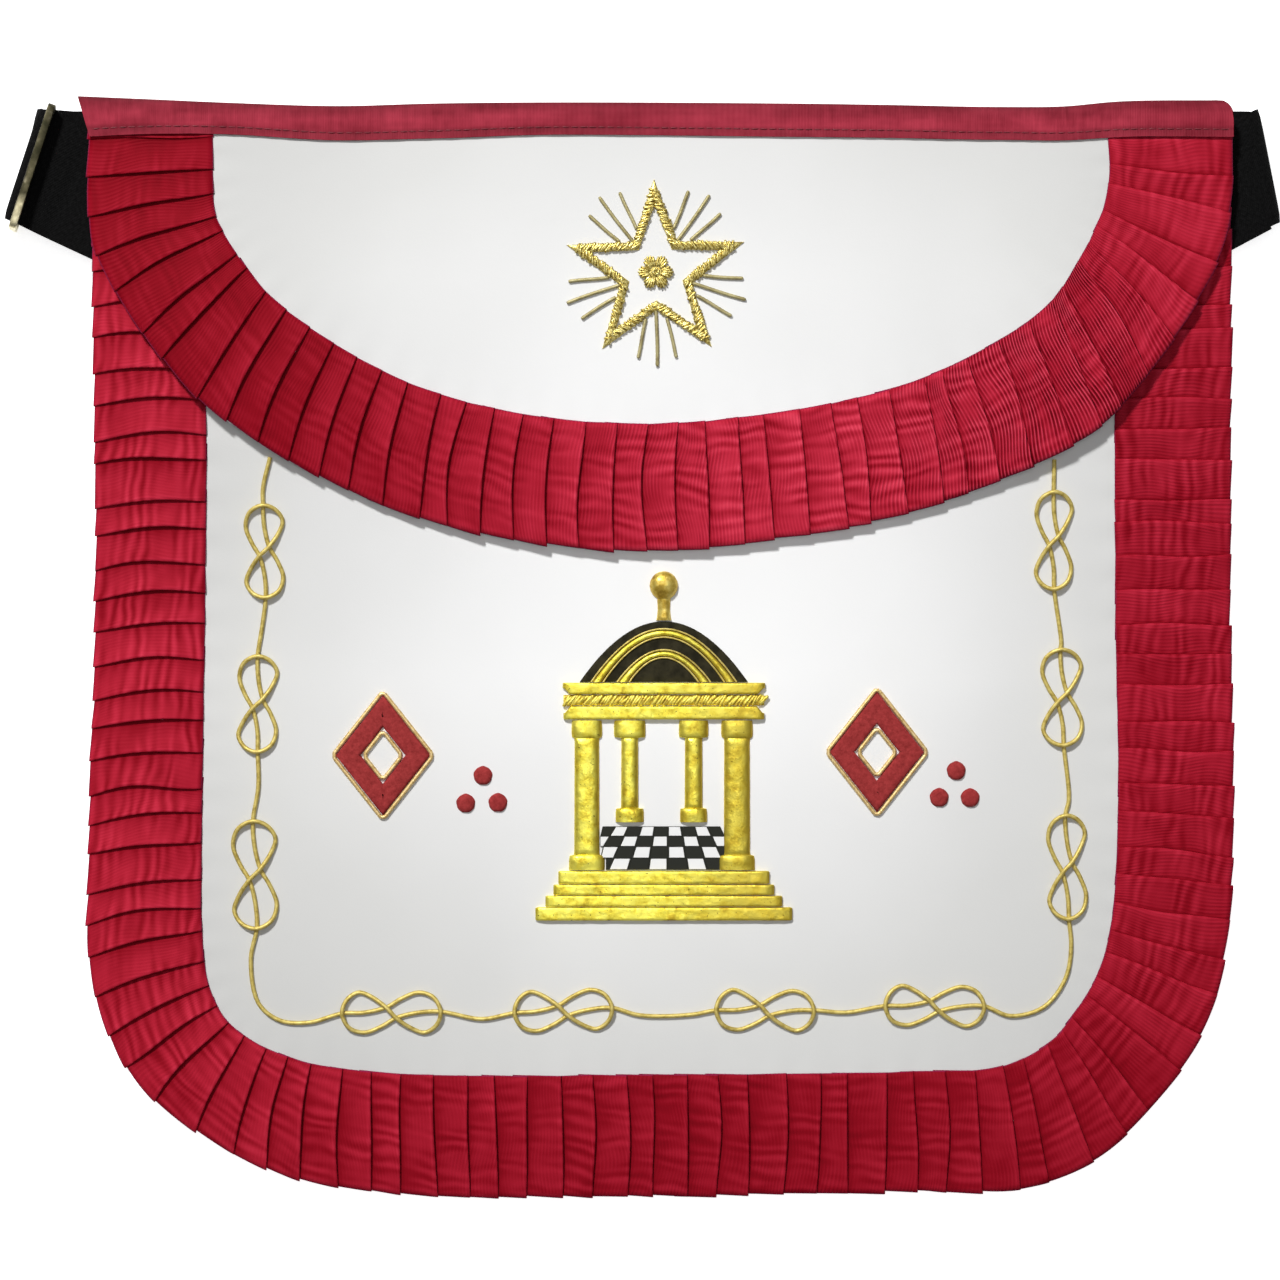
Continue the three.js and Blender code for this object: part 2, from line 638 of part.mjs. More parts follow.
// Three bars between two ends, standing almost on edge across the left stub
function beltSlide() {
  const shape = roundedPlate(SLIDE_LENGTH, SLIDE_HEIGHT, SLIDE_CORNER);
  const slot = (SLIDE_HEIGHT - 3 * SLIDE_BAR) / 2;
  [-1, 1].forEach((half) => {
    const middle = (half * (slot + SLIDE_BAR)) / 2;
    const [x, low, high] = [SLIDE_LENGTH / 2 - SLIDE_BAR / 2, middle - slot / 2, middle + slot / 2];
    const hole = new THREE.Path();
    hole.moveTo(-x, low).lineTo(-x, high).lineTo(x, high).lineTo(x, low).closePath();
    shape.holes.push(hole);
  });
  return flatPlate(shape, SLIDE_DEPTH).translate(0, 0, -SLIDE_DEPTH / 2);
}

const beltClasp = () => flatPlate(roundedPlate(CLASP_WIDTH, CLASP_LENGTH, CLASP_CORNER), CLASP_HEIGHT);

// Embroidered pieces, each a padded form on the leather

const PAD_SECTION = [
  { side: -1, height: 0 },
  { side: -1, height: 0.55 },
  { side: -0.55, height: 1 },
  { side: 0.55, height: 1 },
  { side: 1, height: 0.55 },
  { side: 1, height: 0 },
];
const LONGEST_SPAN = 12; // so that a long piece follows the waves below it

// A straight padded piece. Each row has a share of its length, a half width, a height
// and, where the piece leans, how far its middle lies to the left.
function pad(start, end, rows, ground) {
  const along = end.clone().sub(start);
  const across = vector(-along.y, along.x).normalize();
  const filled = rows.flatMap((row, i) => {
    if (i === 0) return [row];
    const before = rows[i - 1];
    const spans = Math.ceil(((row.at - before.at) * along.length()) / LONGEST_SPAN) || 1;
    return Array.from({ length: spans }, (_, k) => {
      const part = (k + 1) / spans;
      const between = (key) => mix(before[key] ?? 0, row[key] ?? 0, part);
      return { at: between("at"), half: between("half"), height: between("height"), left: between("left") };
    });
  });
  const rings = filled.map((row) =>
    PAD_SECTION.map(({ side, height }) => {
      const place = start.clone().addScaledVector(along, row.at);
      return place.addScaledVector(across, (row.left ?? 0) + side * row.half).setZ(height * row.height);
    }),
  );
  return lay(loft(rings), ground);
}

// A padded line round a closed outline, with mitred corners
function frame(corners, width, height, ground) {
  const outline = corners.flatMap((corner, i) => {
    const next = corners[(i + 1) % corners.length];
    const spans = Math.ceil(corner.distanceTo(next) / LONGEST_SPAN);
    return Array.from({ length: spans }, (_, k) => corner.clone().lerp(next, k / spans));
  });
  const rings = outline.map((place, i) => {
    const before = place.clone().sub(outline.at(i - 1)).normalize();
    const after = outline[(i + 1) % outline.length].clone().sub(place).normalize();
    const mitre = vector(-before.y - after.y, before.x + after.x).normalize();
    const stretch = width / 2 / Math.abs(mitre.dot(vector(-after.y, after.x)));
    return PAD_SECTION.map((point) =>
      place.clone().addScaledVector(mitre, point.side * stretch).setZ(point.height * height),
    );
  });
  return lay(loft(rings, true), ground);
}

// A round or lobed cushion; the outline gives the radius at an angle
function cushion(centre, radiusAt, height, ground, sides = 12) {
  const slices = [
    { share: 1, height: 0 },
    { share: 0.97, height: 0.5 },
    { share: 0.62, height: 0.95 },
  ];
  const outlines = slices.map((slice) =>
    Array.from({ length: sides }, (_, i) => {
      const angle = (2 * Math.PI * i) / sides;
      const reach = slice.share * radiusAt(angle);
      const out = vector(reach * Math.cos(angle), reach * Math.sin(angle), slice.height * height);
      return centre.clone().add(out);
    }),
  );
  return lay(mound(outlines), ground);
}

// Star, rays and rosette on the flap

const starCentre = vector(STAR_CENTRE.x, APRON_LENGTH / 2 - STAR_CENTRE.down);
const onFlap = restingOn(flapTop);
const onBody = restingOn(bodyTop);

const fromStar = (angle, radius) => {
  const turned = radians(angle + STAR_TURN);
  return starCentre.clone().add(vector(radius * Math.cos(turned), radius * Math.sin(turned)));
};

function starOutline() {
  const corners = Array.from({ length: 10 }, (_, i) => fromStar(90 + 36 * i, i % 2 ? STAR_NOTCH : STAR_TIP));
  return frame(corners, BULLION_WIDTH, BULLION_HEIGHT, onFlap);
}

function starRay(notch, side) {
  const angle = 54 + 72 * notch + side * RAY_SPREAD;
  const reach = side === 0 ? MIDDLE_RAY : SIDE_RAY;
  const rows = [0, 1].map((at) => ({ at, half: RAY_WIDTH / 2, height: RAY_HEIGHT }));
  return pad(fromStar(angle, reach.from), fromStar(angle, reach.to), rows, onFlap);
}

function rosette() {
  const petals = (angle) => ROSETTE_RADIUS * (0.74 + 0.26 * Math.abs(Math.cos(3 * angle)));
  return cushion(starCentre, petals, ROSETTE_HEIGHT, onFlap, 24);
}

// Temple on the body

const inTemple = (x, down) =>
  onFace(TEMPLE_PLACE.x, TEMPLE_PLACE.down).add(vector(x * TEMPLE_WIDTH, -down * TEMPLE_HEIGHT));

// A level course. Its ends are half as thick, and the flare puts them at its top (1) or bottom (-1).
function course({ half, top, bottom, flare = 0 }, height) {
  const middle = (top + bottom) / 2;
  const thick = ((bottom - top) * TEMPLE_HEIGHT) / 2;
  const tipHalf = flare === 0 ? thick : thick / 2;
  const tip = { half: tipHalf, left: (flare * thick) / 2, height: height * TIP_HEIGHT_SHARE };
  const rows = [
    { ...tip, at: 0 },
    { at: TIP_SHARE, half: thick, height },
    { at: 1 - TIP_SHARE, half: thick, height },
    { ...tip, at: 1 },
  ];
  return pad(inTemple(-half, middle), inTemple(half, middle), rows, onBody);
}

// A column with a cap that narrows below and a square base
function column({ x, half, cap, base, bottom }) {
  const length = bottom - COLUMN_TOP_SHARE;
  const capAt = CAP_SHARE / length;
  const baseAt = 1 - (bottom === COLUMNS[0].bottom ? BASE_SHARES.front : BASE_SHARES.back) / length;
  const row = (at, share, height) => ({ at, half: share * TEMPLE_WIDTH, height });
  const slope = 0.006;
  const rows = [
    row(0, cap, COLUMN_HEIGHT),
    row(capAt * 0.6, cap, COLUMN_HEIGHT),
    row(capAt, cap * 0.9, COLUMN_HEIGHT),
    row(capAt + slope, half, SHAFT_HEIGHT),
    row(baseAt - slope, half, SHAFT_HEIGHT),
    row(baseAt, base, COLUMN_HEIGHT),
    row(1, base, COLUMN_HEIGHT),
  ];
  return pad(inTemple(x, COLUMN_TOP_SHARE), inTemple(x, bottom), rows, onBody);
}

// The outlines of the dome and its arches are parabolas
function archPoints({ half, top }, steps) {
  const rise = DOME.bottom - top;
  return Array.from({ length: steps + 1 }, (_, i) => {
    const aside = (2 * i) / steps - 1;
    return inTemple(half * aside, DOME.bottom - rise * (1 - aside ** 2));
  });
}

function dome() {
  const arch = archPoints(DOME, 14);
  const base = Array.from({ length: 5 }, (_, i) => arch.at(-1).clone().lerp(arch[0], (i + 1) / 6));
  const outline = [...arch, ...base];
  const centre = inTemple(0, mix(DOME.top, DOME.bottom, 0.6));
  const slice = (share, z) => outline.map((point) => centre.clone().lerp(point, share).setZ(z));
  return lay(mound([slice(1, 0), slice(1, DOME_HEIGHT * 0.6), slice(0.96, DOME_HEIGHT)]), onBody);
}

function arch(shape) {
  const onDome = (x, y) => onBody(x, y) + DOME_HEIGHT + REST_GAP;
  const points = archPoints(shape, 12);
  const shrink = ARCH_WIDTH / (shape.half * TEMPLE_WIDTH);
  const foot = inTemple(0, DOME.bottom);
  const rings = points.map((point) =>
    PAD_SECTION.map(({ side, height }) => {
      const share = 1 - (shrink * (side + 1)) / 2;
      return foot.clone().lerp(point, share).setZ(height * ARCH_HEIGHT);
    }),
  );
  return lay(loft(rings), onDome);
}

// A ball on a short stem that stands on the dome
function finial() {
  const domeTop = DOME.top - SIDE_GAP / TEMPLE_HEIGHT;
  const length = domeTop * TEMPLE_HEIGHT;
  const ballRow = (angle) => ({
    at: (BALL_RADIUS * (1 - Math.cos(angle))) / length,
    half: BALL_RADIUS * Math.sin(angle),
    height: BALL_HEIGHT * Math.sin(angle),
  });
  const angles = [8, 30, 60, 90, 120, 148].map(radians);
  const stem = (at) => ({ at, half: STEM_WIDTH / 2, height: STEM_HEIGHT });
  const rows = [...angles.map(ballRow), stem((2 * BALL_RADIUS) / length), stem(1)];
  return pad(inTemple(0, 0), inTemple(0, domeTop), rows, onBody);
}

// The paved floor narrows below, where it runs between the front columns' bases
function pavement() {
  const row = (at, share) => ({ at, half: share * TEMPLE_WIDTH, height: FLOOR_HEIGHT });
  const { x, top, bottom, narrowFrom, topHalf, bottomHalf } = PAVEMENT;
  const narrow = narrowFrom + 0.02;
  const rows = [row(0, topHalf), row(narrowFrom, topHalf), row(narrow, bottomHalf), row(1, bottomHalf)];
  return pad(inTemple(x, top), inTemple(x, bottom), rows, onBody);
}

// Lozenge frames with a cord along each edge

function lozengeCorners({ x, down }, grow) {
  const centre = onFace(x, down);
  const halfWidth = LOZENGE_WIDTH / 2;
  const halfLength = LOZENGE_LENGTH / 2;
  const scale = 1 + (grow * Math.hypot(halfWidth, halfLength)) / (halfWidth * halfLength);
  return [[0, 1], [-1, 0], [0, -1], [1, 0]].map(([across, along]) =>
    centre.clone().add(vector(across * halfWidth * scale, along * halfLength * scale)),
  );
}

const lozengeMiddle = -LOZENGE_STROKE / 2 - SIDE_GAP - EDGE_CORD;
const lozenge = (place) =>
  frame(lozengeCorners(place, lozengeMiddle), LOZENGE_STROKE, LOZENGE_HEIGHT, onBody);
const lozengeCord = (place, side) => {
  const offset = lozengeMiddle + side * (LOZENGE_STROKE / 2 + SIDE_GAP + EDGE_CORD / 2);
  return frame(lozengeCorners(place, offset), EDGE_CORD, EDGE_CORD, onBody);
};

// Knotted cord

function knottedCord() {
  const ground = REST_GAP + CORD_DIAMETER / 2;
  const way = CORD_WAY.flatMap((row) => {
    const centre = onFace(row.x, row.down);
    if (!row.length) return [{ place: centre, over: 0 }];
    const turn = radians(row.turn);
    const forward = vector(Math.cos(turn), Math.sin(turn));
    const left = vector(-forward.y, forward.x);
    return KNOT.map((point) => {
      const place = centre.clone().addScaledVector(forward, (point.along - 0.5) * row.length * KNOT_LENGTH);
      place.addScaledVector(left, (point.aside * row.width * (KNOT_WIDTH - CORD_DIAMETER)) / 2);
      return { place, over: point.over };
    });
  });
  const centres = way.map(({ place, over }) =>
    place.setZ(bodyTop(place.x, place.y) + ground + over * KNOT_STEP),
  );
  const rings = centres.map((centre, i) => {
    const before = centres[Math.max(0, i - 1)];
    const after = centres[Math.min(centres.length - 1, i + 1)];
    const forward = after.clone().sub(before).normalize();
    const side = vector(0, 0, 1).cross(forward).normalize();
    const up = forward.clone().cross(side);
    return Array.from({ length: CORD_SIDES }, (_, k) => {
      const angle = (2 * Math.PI * k) / CORD_SIDES + Math.PI / 2;
      const round = centre.clone().addScaledVector(side, (Math.cos(angle) * CORD_DIAMETER) / 2);
      return round.addScaledVector(up, (Math.sin(angle) * CORD_DIAMETER) / 2);
    });
  });
  return loft(rings);
}

// Finishes

const finish = (color, roughness, metalness = 0) => ({ color, roughness, metalness });
const WHITE_LEATHER = finish(0xf1efea, 0.55);
const RED_RIBBON = finish(0xb01f30, 0.6);
const BAND_RIBBON = finish(0x7d1f2a, 0.75);
const BLACK_ELASTIC = finish(0x141414, 0.85);
const OLD_BRASS = finish(0x8a7d4a, 0.4, 0.9);
const GOLD_THREAD = finish(0xc9b45a, 0.45, 0.7);
const GOLD_FOIL = finish(0xe8c92c, 0.3, 0.9);
const GOLD_BULLION = finish(0xc8a636, 0.35, 0.9);
const RED_FELT = finish(0xa32832, 0.9);
const DOME_CLOTH = finish(0x26281f, 0.8);
const CHECKER_CLOTH = finish(0x55585a, 0.6);

function piece(name, geometry, colours) {
  const mesh = new THREE.Mesh(geometry, new THREE.MeshStandardMaterial(colours));
  mesh.name = name;
  return mesh;
}

const apron = new THREE.Group();
const add = (...row) => apron.add(piece(...row));

const bodyCorner = 0.32; // share of the ribbon's length where the side turns into the bottom
const flapCorner = 0.16;
const bodyCells = [SHEET_COLUMNS, SHEET_ROWS];
const flapCells = [FLAP_COLUMNS, FLAP_ROWS];
add("apron_body", leatherUnder(bodyRibbon, BODY_MARGIN, bodyCorner, bodyCells, bodyUnderside), WHITE_LEATHER);
add("flap", leatherUnder(flapRibbon, -FLAP_MARGIN, flapCorner, flapCells, flapUnderside), WHITE_LEATHER);
add("body_ruffle", pleatedRibbon(bodyRibbon, onBody), RED_RIBBON);
add("flap_ruffle", pleatedRibbon(flapRibbon, onFlap), RED_RIBBON);
add("waist_band", waistBand(), BAND_RIBBON);
add("belt_left", belt(LEFT_STUB, -1, slideMiddle, slideTurn), BLACK_ELASTIC);
add("belt_right", belt(RIGHT_STUB, 1, (sewnRunHeight + lowerRunHeight) / 2, freeTurn), BLACK_ELASTIC);

const slide = piece("belt_slide", beltSlide(), OLD_BRASS);
slide.rotation.set(Math.PI / 2 + slideTilt, 0, radians(90 - LEFT_STUB.foldLean), "ZYX");
slide.position.copy(stubPlace(LEFT_STUB, -1, LEFT_STUB.reach - slideTurn - BELT_THICKNESS / 2));
slide.position.setZ(slideMiddle);
apron.add(slide);

const clasp = piece("belt_clasp", beltClasp(), OLD_BRASS);
clasp.position.set(0, APRON_LENGTH / 2 - BELT_LOWER_DOWN, 0);
apron.add(clasp);

add("star_outline", starOutline(), GOLD_BULLION);
for (let notch = 0; notch < 5; notch += 1) {
  [-1, 0, 1].forEach((side) => add(`star_ray_${3 * notch + side + 2}`, starRay(notch, side), GOLD_THREAD));
}
add("rosette", rosette(), GOLD_BULLION);

STEPS.forEach((step, i) => add(`temple_step_${i + 1}`, course(step, STEP_HEIGHT), GOLD_FOIL));
BEAMS.forEach((beam) => add(beam.name, course(beam, BEAM_HEIGHT), GOLD_FOIL));
COLUMNS.forEach((row) => add(row.name, column(row), GOLD_FOIL));
add("temple_dome", dome(), DOME_CLOTH);
ARCHES.forEach((shape) => add(shape.name, arch(shape), GOLD_FOIL));
add("temple_finial", finial(), GOLD_FOIL);
add("temple_pavement", pavement(), CHECKER_CLOTH);

LOZENGES.forEach((place) => {
  add(`lozenge_${place.name}`, lozenge(place), RED_FELT);
  add(`lozenge_${place.name}_outer_cord`, lozengeCord(place, 1), GOLD_THREAD);
  add(`lozenge_${place.name}_inner_cord`, lozengeCord(place, -1), GOLD_THREAD);
});
DOTS.forEach(({ x, down }, i) => {
  add(`dot_${i + 1}`, cushion(onFace(x, down), () => DOT_RADIUS, DOT_HEIGHT, onBody), RED_FELT);
});
add("knotted_cord", knottedCord(), GOLD_THREAD);

// The origin is on the table, under the middle of the whole apron
apron.updateMatrixWorld(true);
const bounds = new THREE.Box3().setFromObject(apron, true);
apron.position.set(-(bounds.min.x + bounds.max.x) / 2, -(bounds.min.y + bounds.max.y) / 2, -bounds.min.z);

export default apron;
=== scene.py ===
# %% [markdown]
# # A white leather apron with pleated red ribbon
# A lodge master's apron lies face up on a table. It is white leather with a half-moon flap, a pleated
# red ribbon sewn round its edges, gold embroidery, and a black elastic belt folded behind it.
# The packed model is loaded first, because every piece made below has to sit where that model says.

# %% Load the packed frame
import math
from collections import namedtuple

import bpy
import numpy as np
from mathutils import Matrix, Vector, noise


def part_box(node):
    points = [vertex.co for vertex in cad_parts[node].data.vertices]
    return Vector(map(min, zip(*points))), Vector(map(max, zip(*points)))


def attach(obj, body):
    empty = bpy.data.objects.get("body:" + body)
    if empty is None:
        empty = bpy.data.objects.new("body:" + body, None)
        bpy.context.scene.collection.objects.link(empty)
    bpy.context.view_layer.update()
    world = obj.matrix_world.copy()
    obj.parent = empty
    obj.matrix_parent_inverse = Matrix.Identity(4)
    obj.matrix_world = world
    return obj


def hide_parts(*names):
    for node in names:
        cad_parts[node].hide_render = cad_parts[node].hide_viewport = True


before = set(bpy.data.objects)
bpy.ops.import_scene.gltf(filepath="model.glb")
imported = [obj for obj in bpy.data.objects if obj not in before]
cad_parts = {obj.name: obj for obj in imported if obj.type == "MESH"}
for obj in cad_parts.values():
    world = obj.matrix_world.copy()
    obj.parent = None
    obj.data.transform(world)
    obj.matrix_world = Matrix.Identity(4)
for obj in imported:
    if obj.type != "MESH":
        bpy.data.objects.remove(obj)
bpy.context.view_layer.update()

MM = 0.001

# %% [markdown]
# ## The camera
# The photo was taken from straight above, with the waist edge at the top. A long lens that far away
# keeps the sides of the apron from leaning. The photo's frame covers 443 mm at the apron, and that
# width, the lens and the sensor together say how high the camera hangs.

# %% Hang the camera above the apron
apron_width = 400 * MM
apron_length = 381 * MM
belt_lower_down = 22.6 * MM

clasp_low, clasp_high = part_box("belt_clasp")
middle_x = (clasp_low.x + clasp_high.x) / 2
middle_y = (clasp_low.y + clasp_high.y) / 2 - (apron_length / 2 - belt_lower_down)

photo_span = 443.3 * MM
photo_middle = (-6.9 * MM, 3.6 * MM)
camera = bpy.data.objects.new("camera", bpy.data.cameras.new("camera"))
camera.data.lens = 85
camera.data.sensor_width = 36
camera.data.clip_start = 0.01
camera_height = photo_span * camera.data.lens / camera.data.sensor_width
face_height = 8 * MM
camera.location = (middle_x + photo_middle[0], middle_y + photo_middle[1], camera_height + face_height)
bpy.context.collection.objects.link(camera)
bpy.context.scene.camera = camera
print("camera height in m:", round(camera_height, 3))

# %% [markdown]
# ## The light
# The light in the photo comes from above the waist, a little from the left, so that the pleats that turn
# away from it and the flap's edge throw a short shadow. A lamp some way off does that, a large one high
# above the middle fills in, and a pale sky that darkens towards the horizon softens the rest. The
# standard colour view keeps the reds as strong as they are.

# %% Soft lamps and a pale sky
scene = bpy.context.scene
scene.view_settings.view_transform = "Standard"


def lamp(name, place, aim, size, power):
    data = bpy.data.lights.new(name, "AREA")
    data.shape = "DISK"
    data.size = size
    data.energy = power
    thing = bpy.data.objects.new(name, data)
    thing.location = place
    thing.rotation_euler = (Vector(aim) - Vector(place)).to_track_quat("-Z", "Y").to_euler()
    bpy.context.collection.objects.link(thing)


lamp("key", (-1.0, 2.1, 2.5), (0, 0, 0), 0.42, 116)
lamp("overhead", (0.05, 0.1, 1.9), (0, 0.02, 0), 0.9, 5)
print("lamps:", len(bpy.data.lights))

world = bpy.data.worlds.new("sky")
scene.world = world
world.use_nodes = True
sky_nodes, sky_links = world.node_tree.nodes, world.node_tree.links
direction = sky_nodes.new("ShaderNodeTexCoord")
height = sky_nodes.new("ShaderNodeSeparateXYZ")
fade = sky_nodes.new("ShaderNodeValToRGB")
fade.color_ramp.elements[0].color = (0.08, 0.08, 0.082, 1)
fade.color_ramp.elements[1].color = (0.23, 0.23, 0.235, 1)
sky_links.new(direction.outputs["Generated"], height.inputs[0])
sky_links.new(height.outputs["Z"], fade.inputs["Fac"])
sky_links.new(fade.outputs["Color"], sky_nodes["Background"].inputs["Color"])

# %% [markdown]
# ## Helpers for meshes
# Most of the pieces are grids: rows of points joined to the next row. A closed body is a grid whose rows
# are rings, with its two ends filled. These few helpers make such meshes straight from arrays, which is
# quick, gives clean quads, and leaves no stray faces.


# %% Turn grids of points into objects
def to_row_frame(points):
    """Points in the apron's own metres, moved to where the packed model has them."""
    return np.asarray(points, float) + np.array([middle_x, middle_y, 0.0])


def grid_faces(rows, columns, ring=False, endless=False):
    """Quads between neighbouring rows. ring joins the last column to the first, endless the rows."""
    row = np.arange(rows if endless else rows - 1)[:, None]
    column = np.arange(columns if ring else columns - 1)[None, :]
    next_row = (row + 1) % rows
    next_column = (column + 1) % columns
    corners = [row * columns + column, next_row * columns + column,
               next_row * columns + next_column, row * columns + next_column]
    return np.stack(np.broadcast_arrays(*corners), -1).reshape(-1, 4).tolist()


def capped_faces(rows, columns):
    """A tube of rings with each end filled by one face."""
    last = (rows - 1) * columns
    ends = [list(range(columns)), list(range(last + columns - 1, last - 1, -1))]
    return grid_faces(rows, columns, ring=True) + ends


def new_mesh(name, points, faces, sharp=None):
    mesh = bpy.data.meshes.new(name)
    mesh.from_pydata(to_row_frame(points).tolist(), [], faces)
    mesh.update()
    mesh.shade_smooth()
    if sharp is not None:
        mesh.set_sharp_from_angle(angle=math.radians(sharp))
    return mesh


def store(mesh, name, values):
    """Keeps three numbers at each point, which a material can read."""
    attribute = mesh.attributes.new(name, "FLOAT_VECTOR", "POINT")
    attribute.data.foreach_set("vector", np.asarray(values, np.float32).ravel())


def add_piece(name, mesh, materials, slot, *nodes):
    """Places a piece, gives it its materials, and hides the packed nodes it stands for."""
    thing = bpy.data.objects.new(name, mesh)
    bpy.context.collection.objects.link(thing)
    for entry in materials if isinstance(materials, list) else [materials]:
        mesh.materials.append(entry)
    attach(thing, "root")
    if nodes:
        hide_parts(*nodes)
    return thing


def joined(parts):
    """One list of points and one of faces from several (points, faces) pairs."""
    points, faces, first = [], [], 0
    for part_points, part_faces in parts:
        points.append(part_points)
        faces += [[first + corner for corner in face] for face in part_faces]
        first += len(part_points)
    return np.vstack(points), faces


def add_form(name, shape, finish, slot, node, sharp=60):
    """A piece from one pair of points and faces, with edges kept crisp past an angle."""
    return add_piece(name, new_mesh(name, *shape, sharp), finish, slot, node)


# %% [markdown]
# ## How the leather lies
# The folded belt lifts the waist edge, and from there the leather comes down to the table over a soft
# slope. A few broad waves keep it from looking like board. The flap lies on top and climbs a little at
# the sides, where the body's ribbon is under it. Height is worked out by a formula for every place, so
# each ribbon, cord and stitch can ask how high the leather under it is.

# %% Heights of the body and the flap
leather = 1.4 * MM
rest_gap = 0.35 * MM
waist_lift = 10.5 * MM
ramp_start = 62 * MM
ramp_end = 200 * MM
wave_height = 1.2 * MM
ribbon_width = 42 * MM
pleat_high = 2.1 * MM
body_margin = 3 * MM
flap_margin = 0.4 * MM
flap_gap = 0.4 * MM
flap_edge_lift = 1.4 * MM
flap_drop = 156 * MM
flap_rise_width = 60 * MM

Wave = namedtuple("Wave", "x down spread height")
waves = [
    Wave(-0.55, 0.62, 0.30, 0.70),
    Wave(0.50, 0.55, 0.28, 0.90),
    Wave(-0.12, 0.86, 0.24, 0.45),
    Wave(0.66, 0.86, 0.22, 0.60),
    Wave(-0.74, 0.88, 0.20, 0.60),
]


def on_face(x, down):
    """A place from a share of the half width and a share of the length."""
    return np.array([x * apron_width / 2, apron_length * (0.5 - down)])


def smoothstep(value, low, high):
    share = np.clip((value - low) / (high - low), 0, 1)
    return share * share * (3 - 2 * share)


def body_underside(x, y):
    height = waist_lift * (1 - smoothstep(apron_length / 2 - y, ramp_start, ramp_end))
    for wave in waves:
        centre = on_face(wave.x, wave.down)
        reach = wave.spread * apron_width / 2
        height = height + wave_height * wave.height * np.exp(
            -((x - centre[0]) ** 2 + (y - centre[1]) ** 2) / reach**2)
    return height


def body_top(x, y):
    return body_underside(x, y) + leather


def flap_underside(x, y):
    seam = apron_width / 2 - ribbon_width - body_margin
    rise = rest_gap + pleat_high + rest_gap - flap_gap
    climb = rise * smoothstep(np.abs(x), seam - flap_rise_width, seam)
    down = np.maximum(0, apron_length / 2 - y)
    return body_top(x, y) + flap_gap + climb + flap_edge_lift * (down / flap_drop) ** 2


def flap_top(x, y):
    return flap_underside(x, y) + leather


print("leather height at the waist in mm:", round(float(body_top(0.0, apron_length / 2)) / MM, 2))

# %% [markdown]
# ## The ribbon's path
# A few rows say where the ribbon's outer edge runs, how wide the ribbon looks there and which way its
# pleats point. Two smooth curves through those places are its outer edge and its seam, and a place on
# the ribbon is then a distance along it and a share of the way across. The leather's own outline comes
# from the same curves, so ribbon and leather always fit.


# %% Smooth curves and the two ribbons
def smooth_curve(points, steps=20):
    """A smooth line through the points (centripetal Catmull-Rom), with so many steps in each span."""
    points = np.asarray(points, float)
    padded = np.vstack([2 * points[0] - points[1], points, 2 * points[-1] - points[-2]])
    gaps = np.maximum(np.sqrt(np.linalg.norm(np.diff(padded, axis=0), axis=1)), 1e-6)
    t = (np.arange(steps) / steps)[:, None]
    spans = []
    for i in range(len(points) - 1):
        a, b, c, d = padded[i:i + 4]
        before, here, after = gaps[i:i + 3]
        leaving = ((b - a) / before - (c - a) / (before + here) + (c - b) / here) * here
        arriving = ((c - b) / here - (d - b) / (here + after) + (d - c) / after) * here
        bend = 3 * (c - b) - 2 * leaving - arriving
        twist = 2 * (b - c) + leaving + arriving
        spans.append(b + leaving * t + bend * t**2 + twist * t**3)
    return np.vstack(spans + [points[-1:]])


def running_length(points):
    return np.concatenate([[0.0], np.cumsum(np.linalg.norm(np.diff(points, axis=0), axis=1))])


def read_line(points, distance, along):
    """Places at the given distances along a line."""
    points = np.asarray(points, float)
    return np.stack([np.interp(distance, along, points[:, k]) for k in range(points.shape[1])], -1)


BandRow = namedtuple("BandRow", "x down height")
band_rows = [
    BandRow(-1.0, 0.0, 1.2), BandRow(-0.866, 0.003, 1.02), BandRow(-0.736, 0.006, 0.93),
    BandRow(-0.563, 0.008, 1.01), BandRow(-0.39, 0.0055, 1.03), BandRow(-0.173, 0.0045, 0.95),
    BandRow(0.216, 0.0055, 0.98), BandRow(0.416, 0.007, 0.97), BandRow(0.589, 0.009, 0.97),
    BandRow(0.693, 0.009, 1.0), BandRow(0.797, 0.0045, 1.06), BandRow(0.984, 0.0036, 1.09),
]
band_height = 11.8 * MM
band_wall = 0.9 * MM
band_back = 6 * MM
band_end_slant = 4.2 * MM
slanted_share = 1 / 19
band_corner = 5.5 * MM
corner_share = 0.07
side_gap = 0.3 * MM
band_top_line = smooth_curve([on_face(row.x, row.down) for row in band_rows])
band_heights = smooth_curve([[row.height * band_height, 0] for row in band_rows])[:, 0]
band_shares = np.linspace(0, 1, len(band_heights))


def on_band(share, drop):
    """Places on the band, at a share of its length and a distance down from its top edge."""
    share, drop = np.broadcast_arrays(np.asarray(share, float), drop)
    x = np.interp(share, band_shares, band_top_line[:, 0])
    y = np.interp(share, band_shares, band_top_line[:, 1])
    height = np.interp(share, band_shares, band_heights)
    slant = band_end_slant * np.maximum(0, 1 - share / slanted_share)
    short = np.clip(1 - drop / band_corner, 0, 1)
    near_end = np.clip((share - 1) / corner_share + 1, 0, 1)
    rounded = band_corner * (1 - np.sqrt(1 - short**2)) * near_end**2
    return np.stack([x + slant * drop / height - rounded, y - drop], -1)


